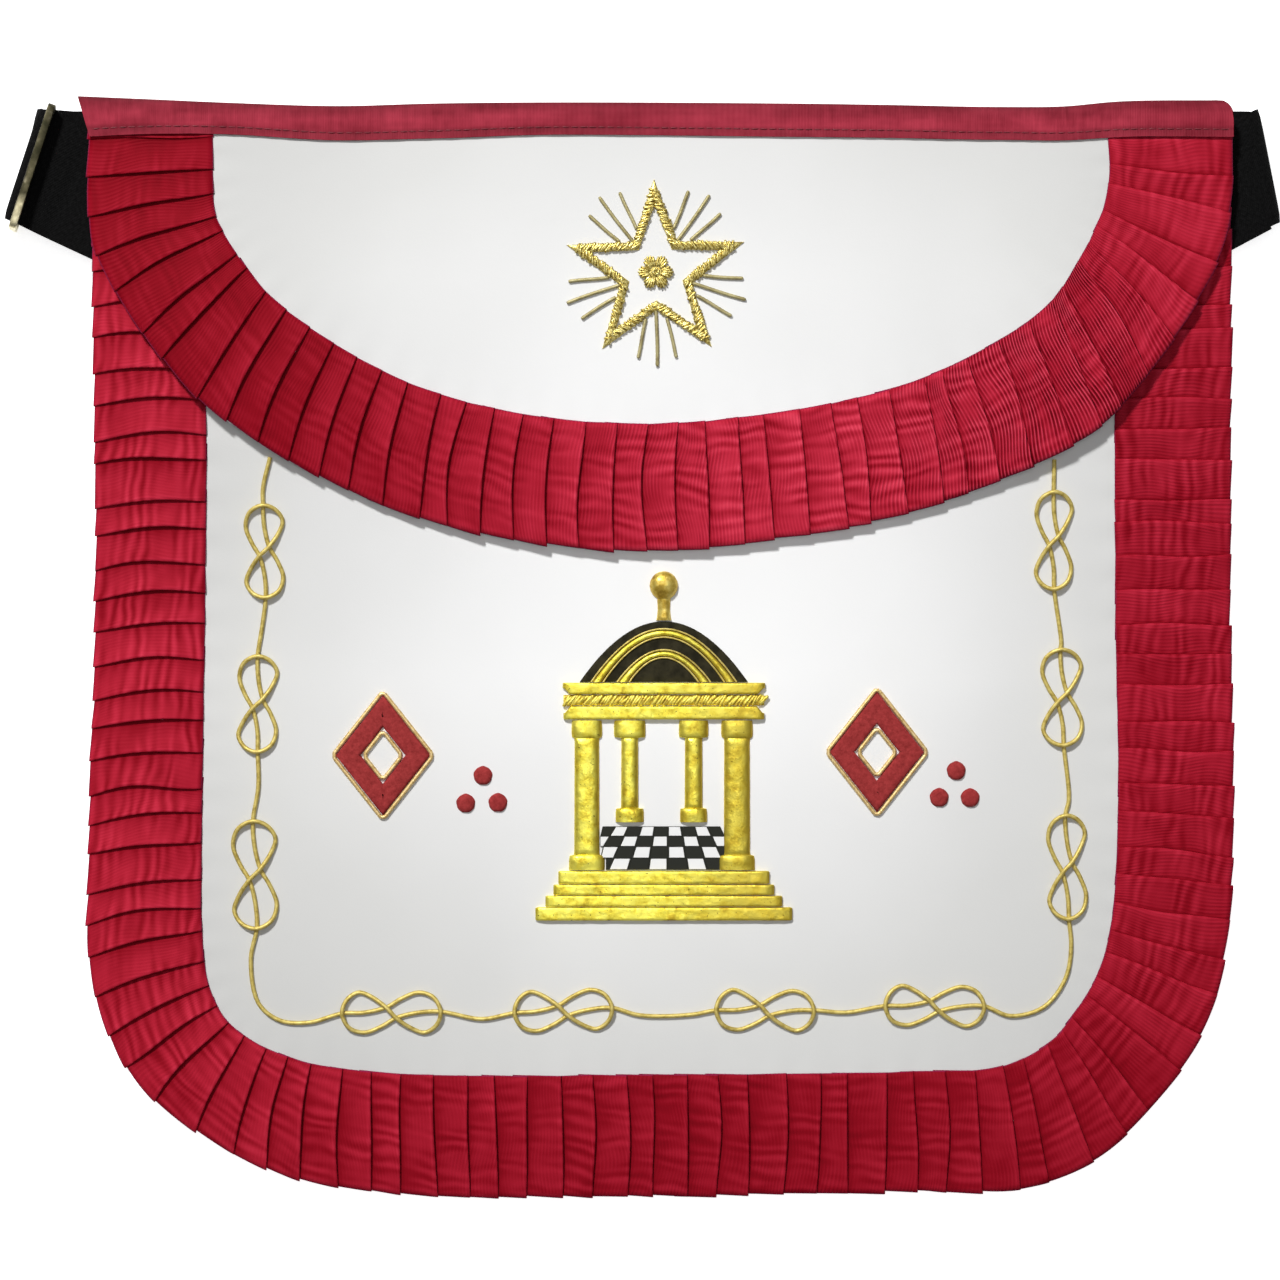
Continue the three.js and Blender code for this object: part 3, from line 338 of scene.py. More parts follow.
EdgeRow = namedtuple("EdgeRow", "x down ribbon heading")
body_edge = [
    EdgeRow(-0.982, None, 0.94, 1), EdgeRow(-0.978, 0.32, 0.92, 3), EdgeRow(-0.985, 0.495, 0.92, 4),
    EdgeRow(-0.996, 0.7, 0.95, 6), EdgeRow(-0.997, 0.773, 0.97, 11), EdgeRow(-0.971, 0.838, 0.94, 22),
    EdgeRow(-0.911, 0.895, 0.91, 39), EdgeRow(-0.797, 0.944, 0.9, 65), EdgeRow(-0.641, 0.982, 0.97, 84),
    EdgeRow(-0.45, 0.997, 1.0, 91), EdgeRow(0.0, 0.999, 1.01, 90), EdgeRow(0.45, 0.995, 1.0, 90),
    EdgeRow(0.627, 0.993, 1.04, 97), EdgeRow(0.762, 0.965, 1.05, 112), EdgeRow(0.866, 0.912, 1.01, 132),
    EdgeRow(0.947, 0.848, 1.0, 152), EdgeRow(0.987, 0.773, 0.98, 168), EdgeRow(0.999, 0.655, 0.96, 177),
    EdgeRow(0.994, 0.455, 0.96, 180), EdgeRow(0.987, 0.255, 0.96, 180), EdgeRow(0.984, None, 0.96, 180),
]
flap_edge = [
    EdgeRow(-0.982, None, 1.02, 1), EdgeRow(-0.984, 0.095, 1.04, 7), EdgeRow(-0.973, 0.138, 1.04, 17),
    EdgeRow(-0.939, 0.173, 1.01, 28), EdgeRow(-0.883, 0.218, 1.01, 42), EdgeRow(-0.779, 0.28, 1.04, 58),
    EdgeRow(-0.623, 0.333, 1.03, 70), EdgeRow(-0.45, 0.374, 1.03, 79), EdgeRow(-0.242, 0.401, 1.04, 85),
    EdgeRow(-0.009, 0.41, 1.05, 90), EdgeRow(0.225, 0.397, 1.03, 95), EdgeRow(0.433, 0.375, 1.03, 99),
    EdgeRow(0.606, 0.342, 1.05, 106), EdgeRow(0.753, 0.3, 1.1, 112), EdgeRow(0.857, 0.238, 1.08, 125),
    EdgeRow(0.925, 0.184, 1.04, 143), EdgeRow(0.968, 0.136, 1.04, 159), EdgeRow(0.982, 0.095, 1.02, 170),
    EdgeRow(0.982, None, 1.01, 180),
]


class RibbonPath:
    """The outer edge and the seam of a ribbon, read by the distance along its middle."""

    def __init__(self, rows):
        outer, seam = [], []
        for row in rows:
            place = on_face(row.x, row.down or 0)
            if row.down is None:
                share = 0.0 if row.x < 0 else 1.0
                foot = np.interp(share, band_shares, band_heights)
                place[1] = on_band(share, foot)[1] - side_gap
            heading = math.radians(row.heading)
            reach = row.ribbon * ribbon_width
            outer.append(place)
            seam.append(place + reach * np.array([math.cos(heading), math.sin(heading)]))
        self.outer = smooth_curve(outer)
        self.seam = smooth_curve(seam)
        self.along = running_length((self.outer + self.seam) / 2)
        self.length = self.along[-1]

    def at(self, distance, across):
        """Places from distances along and shares across: 0 is the outer edge, 1 is the seam."""
        distance, across = np.broadcast_arrays(np.asarray(distance, float), across)
        kept = np.clip(distance, 0, self.length)
        outer = read_line(self.outer, kept, self.along)
        seam = read_line(self.seam, kept, self.along)
        beyond = (distance - kept)[..., None] * self.end_direction(distance)
        return outer + (seam - outer) * across[..., None] + beyond

    def end_direction(self, distance):
        """Which way the ribbon runs on past its ends, under the waist band."""
        down_left = np.array([0.0, -1.0])
        return np.where(np.asarray(distance)[..., None] < self.length / 2, down_left, -down_left)


body_path = RibbonPath(body_edge)
flap_path = RibbonPath(flap_edge)
print("ribbon on the body in mm:", round(body_path.length / MM))
print("ribbon on the flap in mm:", round(flap_path.length / MM))

# %% [markdown]
# ## Node materials
# Every finish below is a small network of nodes on top of one principled shader. A helper wires the
# parts that all of them share: a texture coordinate, noise, a colour ramp and a bump. A colour or number
# that is the same all over is written straight on the shader's socket.


# %% A small kit for building materials
class Finish:
    def __init__(self, name, colour, roughness, metallic=0.0, sheen=0.0, specular=0.5):
        self.material = bpy.data.materials.new(name)
        self.material.use_nodes = True
        self.nodes = self.material.node_tree.nodes
        self.links = self.material.node_tree.links
        self.shader = self.nodes["Principled BSDF"]
        self.shader.inputs["Base Color"].default_value = (*colour, 1)
        self.shader.inputs["Roughness"].default_value = roughness
        self.shader.inputs["Metallic"].default_value = metallic
        self.shader.inputs["Sheen Weight"].default_value = sheen
        self.shader.inputs["Sheen Roughness"].default_value = 0.4
        self.shader.inputs["Specular IOR Level"].default_value = specular

    def add(self, kind, values=(), **settings):
        """A node, with its settings and the default values or links of its inputs."""
        node = self.nodes.new(kind)
        for key, value in settings.items():
            setattr(node, key, value)
        for key, value in dict(values).items():
            if isinstance(value, bpy.types.NodeSocket):
                self.links.new(value, node.inputs[key])
            else:
                node.inputs[key].default_value = value
        return node

    def place(self):
        return self.add("ShaderNodeTexCoord").outputs["Object"]

    def kept(self, name):
        """Numbers that were stored on the mesh."""
        return self.add("ShaderNodeAttribute", attribute_name=name).outputs["Vector"]

    def stretched(self, vector, scale):
        return self.add("ShaderNodeMapping", {"Vector": vector, "Scale": scale}).outputs["Vector"]

    def split(self, vector):
        """The three numbers of a vector, each on its own socket."""
        return self.add("ShaderNodeSeparateXYZ", {"Vector": vector}).outputs

    def noise(self, vector, scale, detail=3.0, roughness=0.5):
        values = {"Vector": vector, "Scale": scale, "Detail": detail, "Roughness": roughness}
        return self.add("ShaderNodeTexNoise", values).outputs["Fac"]

    def math(self, operation, first, second=0.0):
        return self.add("ShaderNodeMath", {0: first, 1: second}, operation=operation).outputs[0]

    def plus(self, first, second):
        return self.math("ADD", first, second)

    def times(self, *factors):
        result = factors[0]
        for factor in factors[1:]:
            result = self.math("MULTIPLY", result, factor)
        return result

    def stripes(self, value, pitch):
        """Waves from -1 to 1 that repeat at each pitch."""
        return self.math("SINE", self.times(value, 2 * math.pi / pitch))

    def ramp(self, factor, *stops):
        """A smooth run of values: each stop is (place, grey or colour)."""
        node = self.add("ShaderNodeValToRGB", {"Fac": factor})
        elements = node.color_ramp.elements
        while len(elements) < len(stops):
            elements.new(0.5)
        for element, (place, value) in zip(elements, stops):
            element.position = place
            element.color = (value, value, value, 1) if isinstance(value, (int, float)) else (*value, 1)
        return node.outputs["Color"]

    def blend(self, factor, first, second, mode="MIX"):
        node = self.add("ShaderNodeMix", data_type="RGBA", blend_type=mode)
        for index, value in ((0, factor), (6, first), (7, second)):
            if isinstance(value, bpy.types.NodeSocket):
                self.links.new(value, node.inputs[index])
            else:
                node.inputs[index].default_value = value if index == 0 else (*value, 1)
        return node.outputs[2]

    def bump(self, height, depth, strength=1.0, under=None):
        values = {"Height": height, "Distance": depth, "Strength": strength}
        if under is not None:
            values["Normal"] = under
        return self.add("ShaderNodeBump", values).outputs["Normal"]

    def wire(self, **inputs):
        for name, output in inputs.items():
            self.links.new(output, self.shader.inputs[name.replace("_", " ")])
        return self.material


print("finish kit:", [word for word in vars(Finish) if not word.startswith("_")])

# %% [markdown]
# ## White apron leather
# Apron leather is a smooth, matt white lambskin or a coated cloth that looks like it. It has a very fine
# grain. Its colour is painted greyer with the distance from a point near the middle, as painted shade
# for the lamp's light falling off towards the edges and corners. The grain could be modelled, but it is
# far below what a mesh can hold, so two layers of bump carry it, and the mesh keeps the broad waves.


# %% Leather finish
def white_leather():
    finish = Finish("white leather", (0.78, 0.78, 0.77), 0.55, specular=0.25)
    place = finish.place()
    stretched = finish.stretched(place, (1, 0.95, 0))
    centre = finish.add("ShaderNodeVectorMath", {0: stretched, 1: (middle_x + 0.01, middle_y + 0.03, 0)},
                        operation="DISTANCE").outputs["Value"]
    # Painted shade: the leather is painted greyer with its distance from a point near the middle, standing in
    # for the lamp's light falling off towards the edges and corners.
    painted_vignette = finish.plus(centre, finish.times(finish.noise(place, 11, 2), 0.05))
    tone = finish.ramp(painted_vignette, (0.05, (0.95, 0.95, 0.945)), (0.09, (0.9, 0.9, 0.895)),
                       (0.15, (0.76, 0.76, 0.75)), (0.18, (0.69, 0.69, 0.675)),
                       (0.24, (0.6, 0.6, 0.585)))
    grain = finish.bump(finish.noise(place, 1400, 2, 0.6), 0.06 * MM, 0.35)
    soft = finish.bump(finish.noise(place, 55, 3, 0.5), 0.5 * MM, 0.22, grain)
    gloss = finish.ramp(finish.noise(place, 260, 3), (0.3, 0.46), (0.7, 0.56))
    return finish.wire(Base_Color=tone, Roughness=gloss, Normal=soft)


leather_finish = white_leather()
print("leather nodes:", len(leather_finish.node_tree.nodes))

# %% [markdown]
# ## The body and the flap
# The leather is cut to the same curves as the ribbon that is sewn on it, and both pieces end a little
# inside the ribbon's outer edge. The inside is filled with a grid blended from the four edges (a Coons
# patch), which bends evenly right into the round corners. The thread that holds the ribbon pulls small
# puckers into the leather next to the seam, so those are raised in the mesh.

# %% Cut and lay the leather
body_corner = 0.32
flap_corner = 0.16
pucker_pitch = 13 * MM
pucker_height = 0.16 * MM
pucker_reach = 6 * MM


def coons(top, bottom, left, right, columns, rows):
    """A grid of places inside four edges, each a function of a share from 0 to 1."""
    u = np.linspace(0, 1, columns + 1)[None, :, None]
    v = np.linspace(0, 1, rows + 1)[:, None, None]
    top_line, bottom_line = top(u[0, :, 0])[None], bottom(u[0, :, 0])[None]
    left_line, right_line = left(v[:, 0, 0])[:, None], right(v[:, 0, 0])[:, None]
    across = top_line * (1 - v) + bottom_line * v + left_line * (1 - u) + right_line * u
    corners = (top_line[:, :1] * (1 - u) + top_line[:, -1:] * u) * (1 - v)
    corners = corners + (bottom_line[:, :1] * (1 - u) + bottom_line[:, -1:] * u) * v
    return across - corners


def leather_outline(path, margin, corner):
    share_across = margin / ribbon_width
    inset = max(margin, 0) / apron_width

    def hem(share):
        return on_band(inset + (1 - 2 * inset) * share, band_wall + rest_gap)

    def side(from_share, to_share, start=None):
        distances = np.linspace(from_share, to_share, 160) * path.length
        places = path.at(distances, share_across)
        if start is not None:
            places = np.vstack([start, places])
        along = running_length(places)
        return lambda share: read_line(places, np.asarray(share) * along[-1], along)

    left = side(0, corner, hem(0.0))
    right = side(1, 1 - corner, hem(1.0))
    return hem, side(corner, 1 - corner), left, right


def seam_puckers(path, x, y):
    """Small ridges beside the seam, one for each stitch of the ribbon, dying out over some mm."""
    distances = np.arange(0, path.length, 3 * MM)
    seam = path.at(distances, 1.0)
    away = np.full(x.shape, 1.0)
    where = np.zeros(x.shape)
    for place, distance in zip(seam, distances):
        gap = np.hypot(x - place[0], y - place[1])
        closer = gap < away
        away = np.where(closer, gap, away)
        where = np.where(closer, distance, where)
    ridge = np.sin(2 * np.pi * where / pucker_pitch + 2 * np.sin(where / (37 * MM)))
    return pucker_height * ridge * np.exp(-away / pucker_reach)


def lay_leather(name, node, path, margin, corner, underside, cells):
    top, bottom, left, right = leather_outline(path, margin, corner)
    grid = coons(top, bottom, left, right, *cells)
    x, y = grid[..., 0], grid[..., 1]
    z = underside(x, y) + seam_puckers(path, x, y)
    rows, columns = x.shape
    upper = np.stack([x, y, z + leather], -1).reshape(-1, 3)
    lower = np.stack([x, y, np.maximum(z, 0)], -1).reshape(-1, 3)
    faces = [[d, c, b, a] for a, b, c, d in grid_faces(rows, columns)]
    count = rows * columns
    faces_below = [[count + corner_at for corner_at in face[::-1]] for face in faces]
    border = list(range(columns)) + [r * columns + columns - 1 for r in range(1, rows)]
    border += [count - 2 - k for k in range(columns - 1)] + [r * columns for r in range(rows - 2, 0, -1)]
    rim = [[border[k], border[(k + 1) % len(border)], count + border[(k + 1) % len(border)],
            count + border[k]] for k in range(len(border))]
    mesh = new_mesh(name, np.vstack([upper, lower]), faces + faces_below + rim, sharp=40)
    thing = add_piece(name, mesh, leather_finish, "white_leather", node)
    edge_x, edge_y = np.diff(grid, axis=1)[:-1], np.diff(grid, axis=0)[:, :-1]
    area = float(np.abs(edge_x[..., 0] * edge_y[..., 1] - edge_x[..., 1] * edge_y[..., 0]).sum())
    flat = (float(np.ptp(x)), float(np.ptp(y)))
    print(name, "in mm:", [round(side / MM) for side in flat], "and in cm2:", round(area * 1e4))
    return thing, flat, area


body_leather, body_flat, body_area = lay_leather(
    "body_leather", "apron_body", body_path, body_margin, body_corner, body_underside, (150, 150))
flap_leather, flap_flat, flap_area = lay_leather(
    "flap_leather", "flap", flap_path, flap_margin, flap_corner, flap_underside, (150, 60))

# %% [markdown]
# ## Moire ribbon
# The ribbon is a ribbed silk or viscose that has been pressed damp, so that the light runs over its ribs
# in watery bands. The ribs lie across the ribbon, along the pleats, and the bands lie over them in curves.
# Each point of the pleated mesh keeps its place on the flat ribbon, and the material reads that, so ribs
# and bands follow every fold as woven threads do. One number mixes the ribs, the bands and the painted
# shade and light stored on the mesh, and a single ramp turns it into red: deep and pure where it is dark,
# paler and pinker where it is lightest.

# %% Ribbon finish
rib_pitch = 1.2 * MM
water_pitch = 4.3 * MM
selvedge = 0.45 * MM


def moire_ribbon():
    finish = Finish("moire ribbon", (0.36, 0.012, 0.03), 0.6, specular=0.03)
    flat, cloth = finish.kept("flat_place"), finish.kept("painted_shade_and_weave")
    place, look = finish.split(flat), finish.split(cloth)
    along, across, water_at = place["X"], place["Y"], place["Z"]
    shade, rib_strength, water_strength = look["X"], look["Y"], look["Z"]

    def cloud(along_scale, across_scale, detail=2.0):
        return finish.noise(finish.stretched(flat, (along_scale, across_scale, 0)), 1, detail)

    ribs = finish.stripes(finish.plus(along, finish.times(cloud(14, 42, 0), 9 * MM)), rib_pitch)
    ribs = finish.times(ribs, rib_strength, finish.ramp(cloud(150, 90), (0.36, 0.3), (0.6, 1.0)))
    water = finish.stripes(finish.plus(water_at, finish.times(cloud(45, 75, 1.5), 9 * MM)), water_pitch)
    water = finish.times(water, water_strength, finish.ramp(cloud(40, 95), (0.4, 0.1), (0.6, 1.0)))
    uneven = finish.times(finish.math("SUBTRACT", cloud(70, 70), 0.5), 0.42)
    light = 0.5
    for part in (finish.times(water, 0.12), finish.times(ribs, 0.17), uneven):
        light = finish.plus(part, light)
    # shade is painted light and shade kept on the mesh: painted shadows in the folds, painted highlights on
    # the lips, and painted light and shade round the apron.
    light = finish.times(light, shade)
    colour = finish.ramp(light, (0.0, (0.09, 0.0, 0.001)), (0.3, (0.25, 0.003, 0.011)),
                         (0.5, (0.40, 0.012, 0.03)), (0.72, (0.56, 0.026, 0.057)),
                         (1.0, (0.78, 0.06, 0.11)))
    edge = finish.math("PINGPONG", across, ribbon_width / 2)
    rim = finish.ramp(finish.times(edge, 1 / (4 * selvedge)), (0.06, 0.85), (0.26, 0.0))
    colour = finish.blend(rim, colour, (0.26, 0.02, 0.07))
    woven = finish.bump(ribs, 0.22 * MM, 0.8)
    soft = finish.bump(cloud(160, 70), 0.5 * MM, 0.3, woven)
    return finish.wire(Base_Color=colour, Normal=soft)


ribbon_finish = moire_ribbon()
print("ribbon nodes:", len(ribbon_finish.node_tree.nodes))

# %% [markdown]
# ## Knife pleats
# A knife pleat is a Z fold: the ribbon runs forward to an edge, turns back under itself, and turns
# forward again as the start of the next pleat. One short table holds that fold, as shares of the pleat's
# pitch and height. It is repeated along the path with small seeded differences of pitch, height and
# sway, because hand-laid pleats are never alike. A second table says how the pleats change on their way
# round the apron: how high they stand, how far they bow, how much painted light or shade the cloth
# gets, and how clear its ribs and watery bands are.

# %% The fold and what changes along a ribbon
Fold = namedtuple("Fold", "ahead height")
pleat_fold = [
    Fold(-0.35, 0.0), Fold(-0.1, 0.02), Fold(0.05, 0.04), Fold(0.12, 0.06), Fold(0.2, 0.09),
    Fold(0.3, 0.14), Fold(0.44, 0.24), Fold(0.58, 0.38), Fold(0.71, 0.56), Fold(0.82, 0.76),
    Fold(0.91, 0.92), Fold(0.98, 1.0), Fold(1.035, 0.98), Fold(1.06, 0.88), Fold(1.04, 0.78),
    Fold(0.95, 0.68), Fold(0.76, 0.4),
]
lip_at = 1.06
pleat_pitch = 11.2 * MM
ribbon_thickness = 0.28 * MM
pleat_stations = 22
tuck = 5 * MM
close_shadow = 0.55 * MM
soft_shadow = 3.2 * MM
sewn_height = 0.3

Stretch = namedtuple("Stretch", "share height bow tone ribs water")
# The tone column is painted light and shade: lighter where the lamp's light falls most, on the flap's middle,
# darker along the hem and on the flap's upper left.
body_stretches = [
    Stretch(0.0, 1.7, -1.6, 1.0, 0.15, 0.9), Stretch(0.14, 1.8, -2.2, 1.0, 0.1, 1.3),
    Stretch(0.36, 1.8, -1.4, 0.92, 0.15, 1.1), Stretch(0.45, 1.6, 0.5, 0.75, 0.25, 1.0),
    Stretch(0.6, 1.2, 0.3, 0.71, 0.25, 0.9), Stretch(0.7, 0.8, 0.0, 0.86, 0.3, 1.0),
    Stretch(1.0, 0.65, 0.0, 0.92, 0.28, 1.1),
]
flap_stretches = [
    Stretch(0.0, 1.5, 0.2, 0.66, 0.25, 0.6), Stretch(0.2, 1.8, -1.4, 0.68, 0.25, 0.5),
    Stretch(0.35, 1.9, -2.2, 0.98, 0.3, 0.7), Stretch(0.5, 1.4, -0.6, 1.3, 0.5, 1.1),
    Stretch(0.62, 1.0, 0.3, 1.3, 0.4, 1.4), Stretch(0.7, 0.75, 0.8, 1.26, 1.2, 1.2),
    Stretch(0.77, 0.6, 0.8, 1.2, 2.1, 0.6), Stretch(0.84, 0.6, 0.8, 1.14, 2.0, 0.6),
    Stretch(0.89, 0.7, 0.3, 1.04, 0.3, 0.9), Stretch(1.0, 0.8, 0.0, 0.92, 0.2, 0.9),
]


def at_stretch(stretches, share):
    """The values of the table at a share of the ribbon's length."""
    table = np.array(stretches)
    return Stretch(share, *(float(np.interp(share, table[:, 0], table[:, k])) for k in range(1, 6)))


def fold_depth(across):
    """How far the folds stand up across the ribbon: sewn down at both edges, free between."""
    return sewn_height + (1 - sewn_height) * np.sin(np.pi * np.clip(across, 0, 1)) ** 0.75


def lip_shade(fold, pitch, height, across):
    """Painted highlight on a pleat's lip and painted shadow where the next pleat leans over it."""
    past_lip = max(0.0, (fold.ahead - (lip_at - 1)) * pitch)
    tall = min(1.0, height / 1.6)
    close = (0.68 - 0.36 * tall) * math.exp(-past_lip / close_shadow)
    soft = 0.36 * tall * math.exp(-past_lip / soft_shadow)
    glow = 0.2 * math.exp(-((fold.ahead - 0.99) / 0.05) ** 2)
    return 1 + glow * fold_depth(across) - (close + soft) * (0.35 + 0.65 * fold_depth(across))


print("points in a fold:", len(pleat_fold))

# %% [markdown]
# ## Folding along the path
# On the apron the ribbon is pressed into pleats while it is sewn down, both edges at once, so each fold
# stands up most in the middle of its width. It could be a cloth simulation, but a fold table that is
# carried along the path keeps the pleats crisp and gives the same ribbon on each run. Each new pleat
# starts from the sway of the last one, so that no cloth is cut through. Each row of points also keeps its
# place on the flat ribbon and its painted shade and highlight, for the finish.


# %% Fold the ribbons
def fold_ribbon(name, node, path, ground, seed, stretches):
    """Carries the fold along a path, with seeded differences, and keeps what the finish reads."""
    rng = np.random.default_rng(seed)
    count = round(path.length / pleat_pitch)
    starts = np.linspace(0, path.length, count + 1)
    starts[1:-1] += rng.normal(0, 0.09, count - 1).clip(-0.17, 0.17) * path.length / count
    across = np.linspace(0, 1, pleat_stations)
    across = across + 0.04 * np.sin(2 * np.pi * across) / (2 * np.pi)
    sway = np.zeros(pleat_stations)
    rows, places, looks, flat_now = [], [], [], 0.0
    for i in range(-1, count + 1):
        begin = starts[0] - tuck if i < 0 else starts[min(i, count)]
        pitch = (starts[i + 1] if i < count else path.length + tuck) - begin
        here = at_stretch(stretches, np.clip(begin / path.length, 0, 1))
        before = sway
        sway = rng.normal(0, 0.3) * MM * (1 - 2 * across) + (here.bow + rng.normal(0, 0.35)) * MM * (
            np.sin(np.pi * across) - 0.5)
        sway = sway + rng.normal(0, 0.22) * MM * np.sin(2 * np.pi * (across + rng.uniform(0, 1)))
        lift = rng.uniform(0.82, 1.0) * here.height * MM
        saw_outer, saw_seam = rng.uniform(0.004, 0.02), rng.uniform(-0.01, 0.01)
        drift, phase = rng.normal(0, 0.004), rng.normal(0, 0.5) * MM
        curve = rng.normal(1.6, 0.8) * MM
        # Painted light and shade for this pleat, from the table's tone with a little seeded difference.
        painted_brightness = here.tone * rng.uniform(0.95, 1.04)
        for fold in pleat_fold:
            if i < 0 and fold.ahead < 0.0:
                continue
            turn = smoothstep(fold.ahead, 0.25, 0.9)
            distance = begin + fold.ahead * pitch + before * (1 - turn) + sway * turn
            stagger = (fold.ahead - 0.5) * (saw_seam * across - saw_outer * (1 - across))
            stagger = stagger + drift * (1 - across)
            tucked = smoothstep(np.minimum(distance, path.length - distance), -tuck * 0.4, 4 * MM)
            height = (0.16 + 0.84 * tucked) * lift * fold.height * fold_depth(across)
            plan = path.at(distance, across + stagger)
            z = ground(plan[:, 0], plan[:, 1]) + rest_gap * 0.6 + height
            rows.append(np.column_stack([plan, z]))
            if len(rows) > 1:
                flat_now += float(np.linalg.norm(rows[-1][8] - rows[-2][8]))
            from_middle = fold.ahead - 0.5
            bent = across * ribbon_width + phase + curve * from_middle**2 * np.sign(from_middle)
            places.append(np.column_stack([np.full(pleat_stations, flat_now), across * ribbon_width, bent]))
            shade = painted_brightness * lip_shade(fold, pitch, here.height, across)
            looks.append(np.column_stack([shade, np.full(pleat_stations, here.ribs),
                                          np.full(pleat_stations, here.water)]))
            if i == count and fold.ahead > 0.9:
                break
    shape = len(rows), pleat_stations
    mesh = new_mesh(name, np.vstack(rows), [face[::-1] for face in grid_faces(*shape)])
    store(mesh, "flat_place", np.vstack(places))
    store(mesh, "painted_shade_and_weave", np.vstack(looks))
    thing = add_piece(name, mesh, ribbon_finish, "red_ribbon", node)
    solidify = thing.modifiers.new("thickness", "SOLIDIFY")
    solidify.thickness = ribbon_thickness
    solidify.offset = 0
    print(name, "pleats:", count, "flat ribbon in mm:", round(flat_now / MM))


fold_ribbon("body_ribbon", "body_ruffle", body_path, body_top, 11, body_stretches)
fold_ribbon("flap_ribbon", "flap_ruffle", flap_path, flap_top, 23, flap_stretches)

# %% [markdown]
# ## The waist band
# A strip of duller ribbon is folded over the top edges of body and flap and sewn through with one line of
# stitches near its lower edge. Behind, it reaches down a little less. A ring of points round the fold,
# repeated along the waist, makes the strip, and it stands a little prouder where pleats are tucked under.

# %% Band finish and band
band_stations = 240
stitch_up = 2.6 * MM
stitch_length = 3.1 * MM


def band_cloth():
    finish = Finish("band ribbon", (0.27, 0.02, 0.035), 0.6, specular=0.1)
    flat = finish.kept("flat_place")
    parts = finish.split(flat)
    streaks = finish.noise(finish.stretched(flat, (430, 110, 0)), 1, 3)
    clouds = finish.noise(finish.stretched(flat, (40, 170, 0)), 1, 2)
    mixed = finish.plus(finish.times(streaks, 0.35), finish.times(clouds, 0.65))
    tone = finish.ramp(mixed, (0.35, (0.24, 0.013, 0.028)), (0.65, (0.42, 0.034, 0.062)))
    # Painted shade and sheen down the band: darker along the folded top edge and in the crease at the
    # stitches, with a painted light streak across the middle.
    down = finish.times(parts["Y"], 1 / band_height)
    strip = finish.ramp(down, (0.0, 0.4), (0.14, 0.76), (0.45, 1.0), (0.68, 1.0), (0.78, 0.62), (1.0, 0.8))
    tone = finish.blend(1.0, tone, strip, "MULTIPLY")
    woven = finish.bump(finish.stripes(parts["X"], 0.9 * MM), 0.05 * MM, 0.5)
    soft = finish.bump(finish.noise(finish.stretched(flat, (260, 110, 0)), 1, 3), 0.6 * MM, 0.5, woven)
    return finish.wire(Base_Color=tone, Normal=soft)


band_finish = band_cloth()


def lift_over_pleats(x):
    """How much higher the band runs over the tucked ends of the ribbons."""
    seam = apron_width / 2 - ribbon_width
    return 0.75 * MM * smoothstep(np.abs(x), seam - 6 * MM, seam + 4 * MM)


def make_band():
    share = np.linspace(0, 1, band_stations)
    height = np.interp(share, band_shares, band_heights)
    wall = band_wall * 0.6
    rings, drops = [], []

    def add_line(drop, surface, offset, over=0.0):
        drop = np.broadcast_to(drop, height.shape)
        drops.append(drop * band_height / height)
        plan = on_band(share, drop)
        pinch = np.exp(-((drop - (height - stitch_up)) / (0.8 * MM)) ** 2) * 0.16 * MM
        ripple = 0.08 * MM * np.sin(share * 260 + 3 * np.sin(share * 31))
        z = surface(plan[:, 0], plan[:, 1]) + offset + over * (lift_over_pleats(plan[:, 0]) - pinch + ripple)
        rings.append(np.column_stack([plan, z]))

    for part in np.linspace(1, 0.1, 13):
        add_line(height * part, flap_top, rest_gap + wall, 1.0)
    add_line(0.4 * MM, flap_top, rest_gap + wall * 0.6, 1.0)
    add_line(0.0, flap_top, rest_gap - 0.2 * MM)
    add_line(0.0, body_underside, -rest_gap + 0.2 * MM)
    add_line(0.5 * MM, body_underside, -rest_gap - wall * 0.7)
    for part in (0.2, 0.5, 0.8, 1.0):
        add_line(band_back * part, body_underside, -rest_gap - wall)
    for part in (1.0, 0.6, 0.3):
        add_line(band_back * part, body_underside, -rest_gap)
    add_line(band_wall, body_underside, -rest_gap * 0.8)
    add_line(band_wall, flap_top, rest_gap * 0.8)
    for part in (0.3, 0.6, 1.0):
        add_line(height * part, flap_top, rest_gap, 0.9)
    rings = np.array(rings).transpose(1, 0, 2)
    stations, ring_size = rings.shape[:2]
    mesh = new_mesh("band", rings.reshape(-1, 3), capped_faces(stations, ring_size), sharp=50)
    drops = np.array(drops).T
    along = np.broadcast_to((share * apron_width)[:, None], drops.shape)
    store(mesh, "flat_place", np.stack([along, drops, 0 * drops], -1).reshape(-1, 3))
    thing = add_piece("band", mesh, band_finish, "band_ribbon", "waist_band")
    return thing


band = make_band()
print("band faces:", len(band.data.polygons))

# %% [markdown]
# ## Stitches
# A stitch is a short piece of thread that dips into the cloth at both ends. They are far too many to
# place by hand, so one row is worked out along the band and joined into one mesh.


# %% Short threads and cords
def tube(centres, radii, sides=8, phase=0.0):
    """Rings round a line of centres, with fan-free ends that are one face each."""
    centres = np.asarray(centres, float)
    radii = np.broadcast_to(np.asarray(radii, float), (len(centres),))
    forward = np.gradient(centres, axis=0)
    forward /= np.linalg.norm(forward, axis=1, keepdims=True)
    side = np.cross([0.0, 0.0, 1.0], forward)
    side /= np.maximum(np.linalg.norm(side, axis=1, keepdims=True), 1e-9)
    up = np.cross(forward, side)
    angle = phase + np.arange(sides) * 2 * np.pi / sides
    rings = centres[:, None] + radii[:, None, None] * (
        np.cos(angle)[None, :, None] * side[:, None] + np.sin(angle)[None, :, None] * up[:, None])
    return rings.reshape(-1, 3), capped_faces(len(centres), sides)


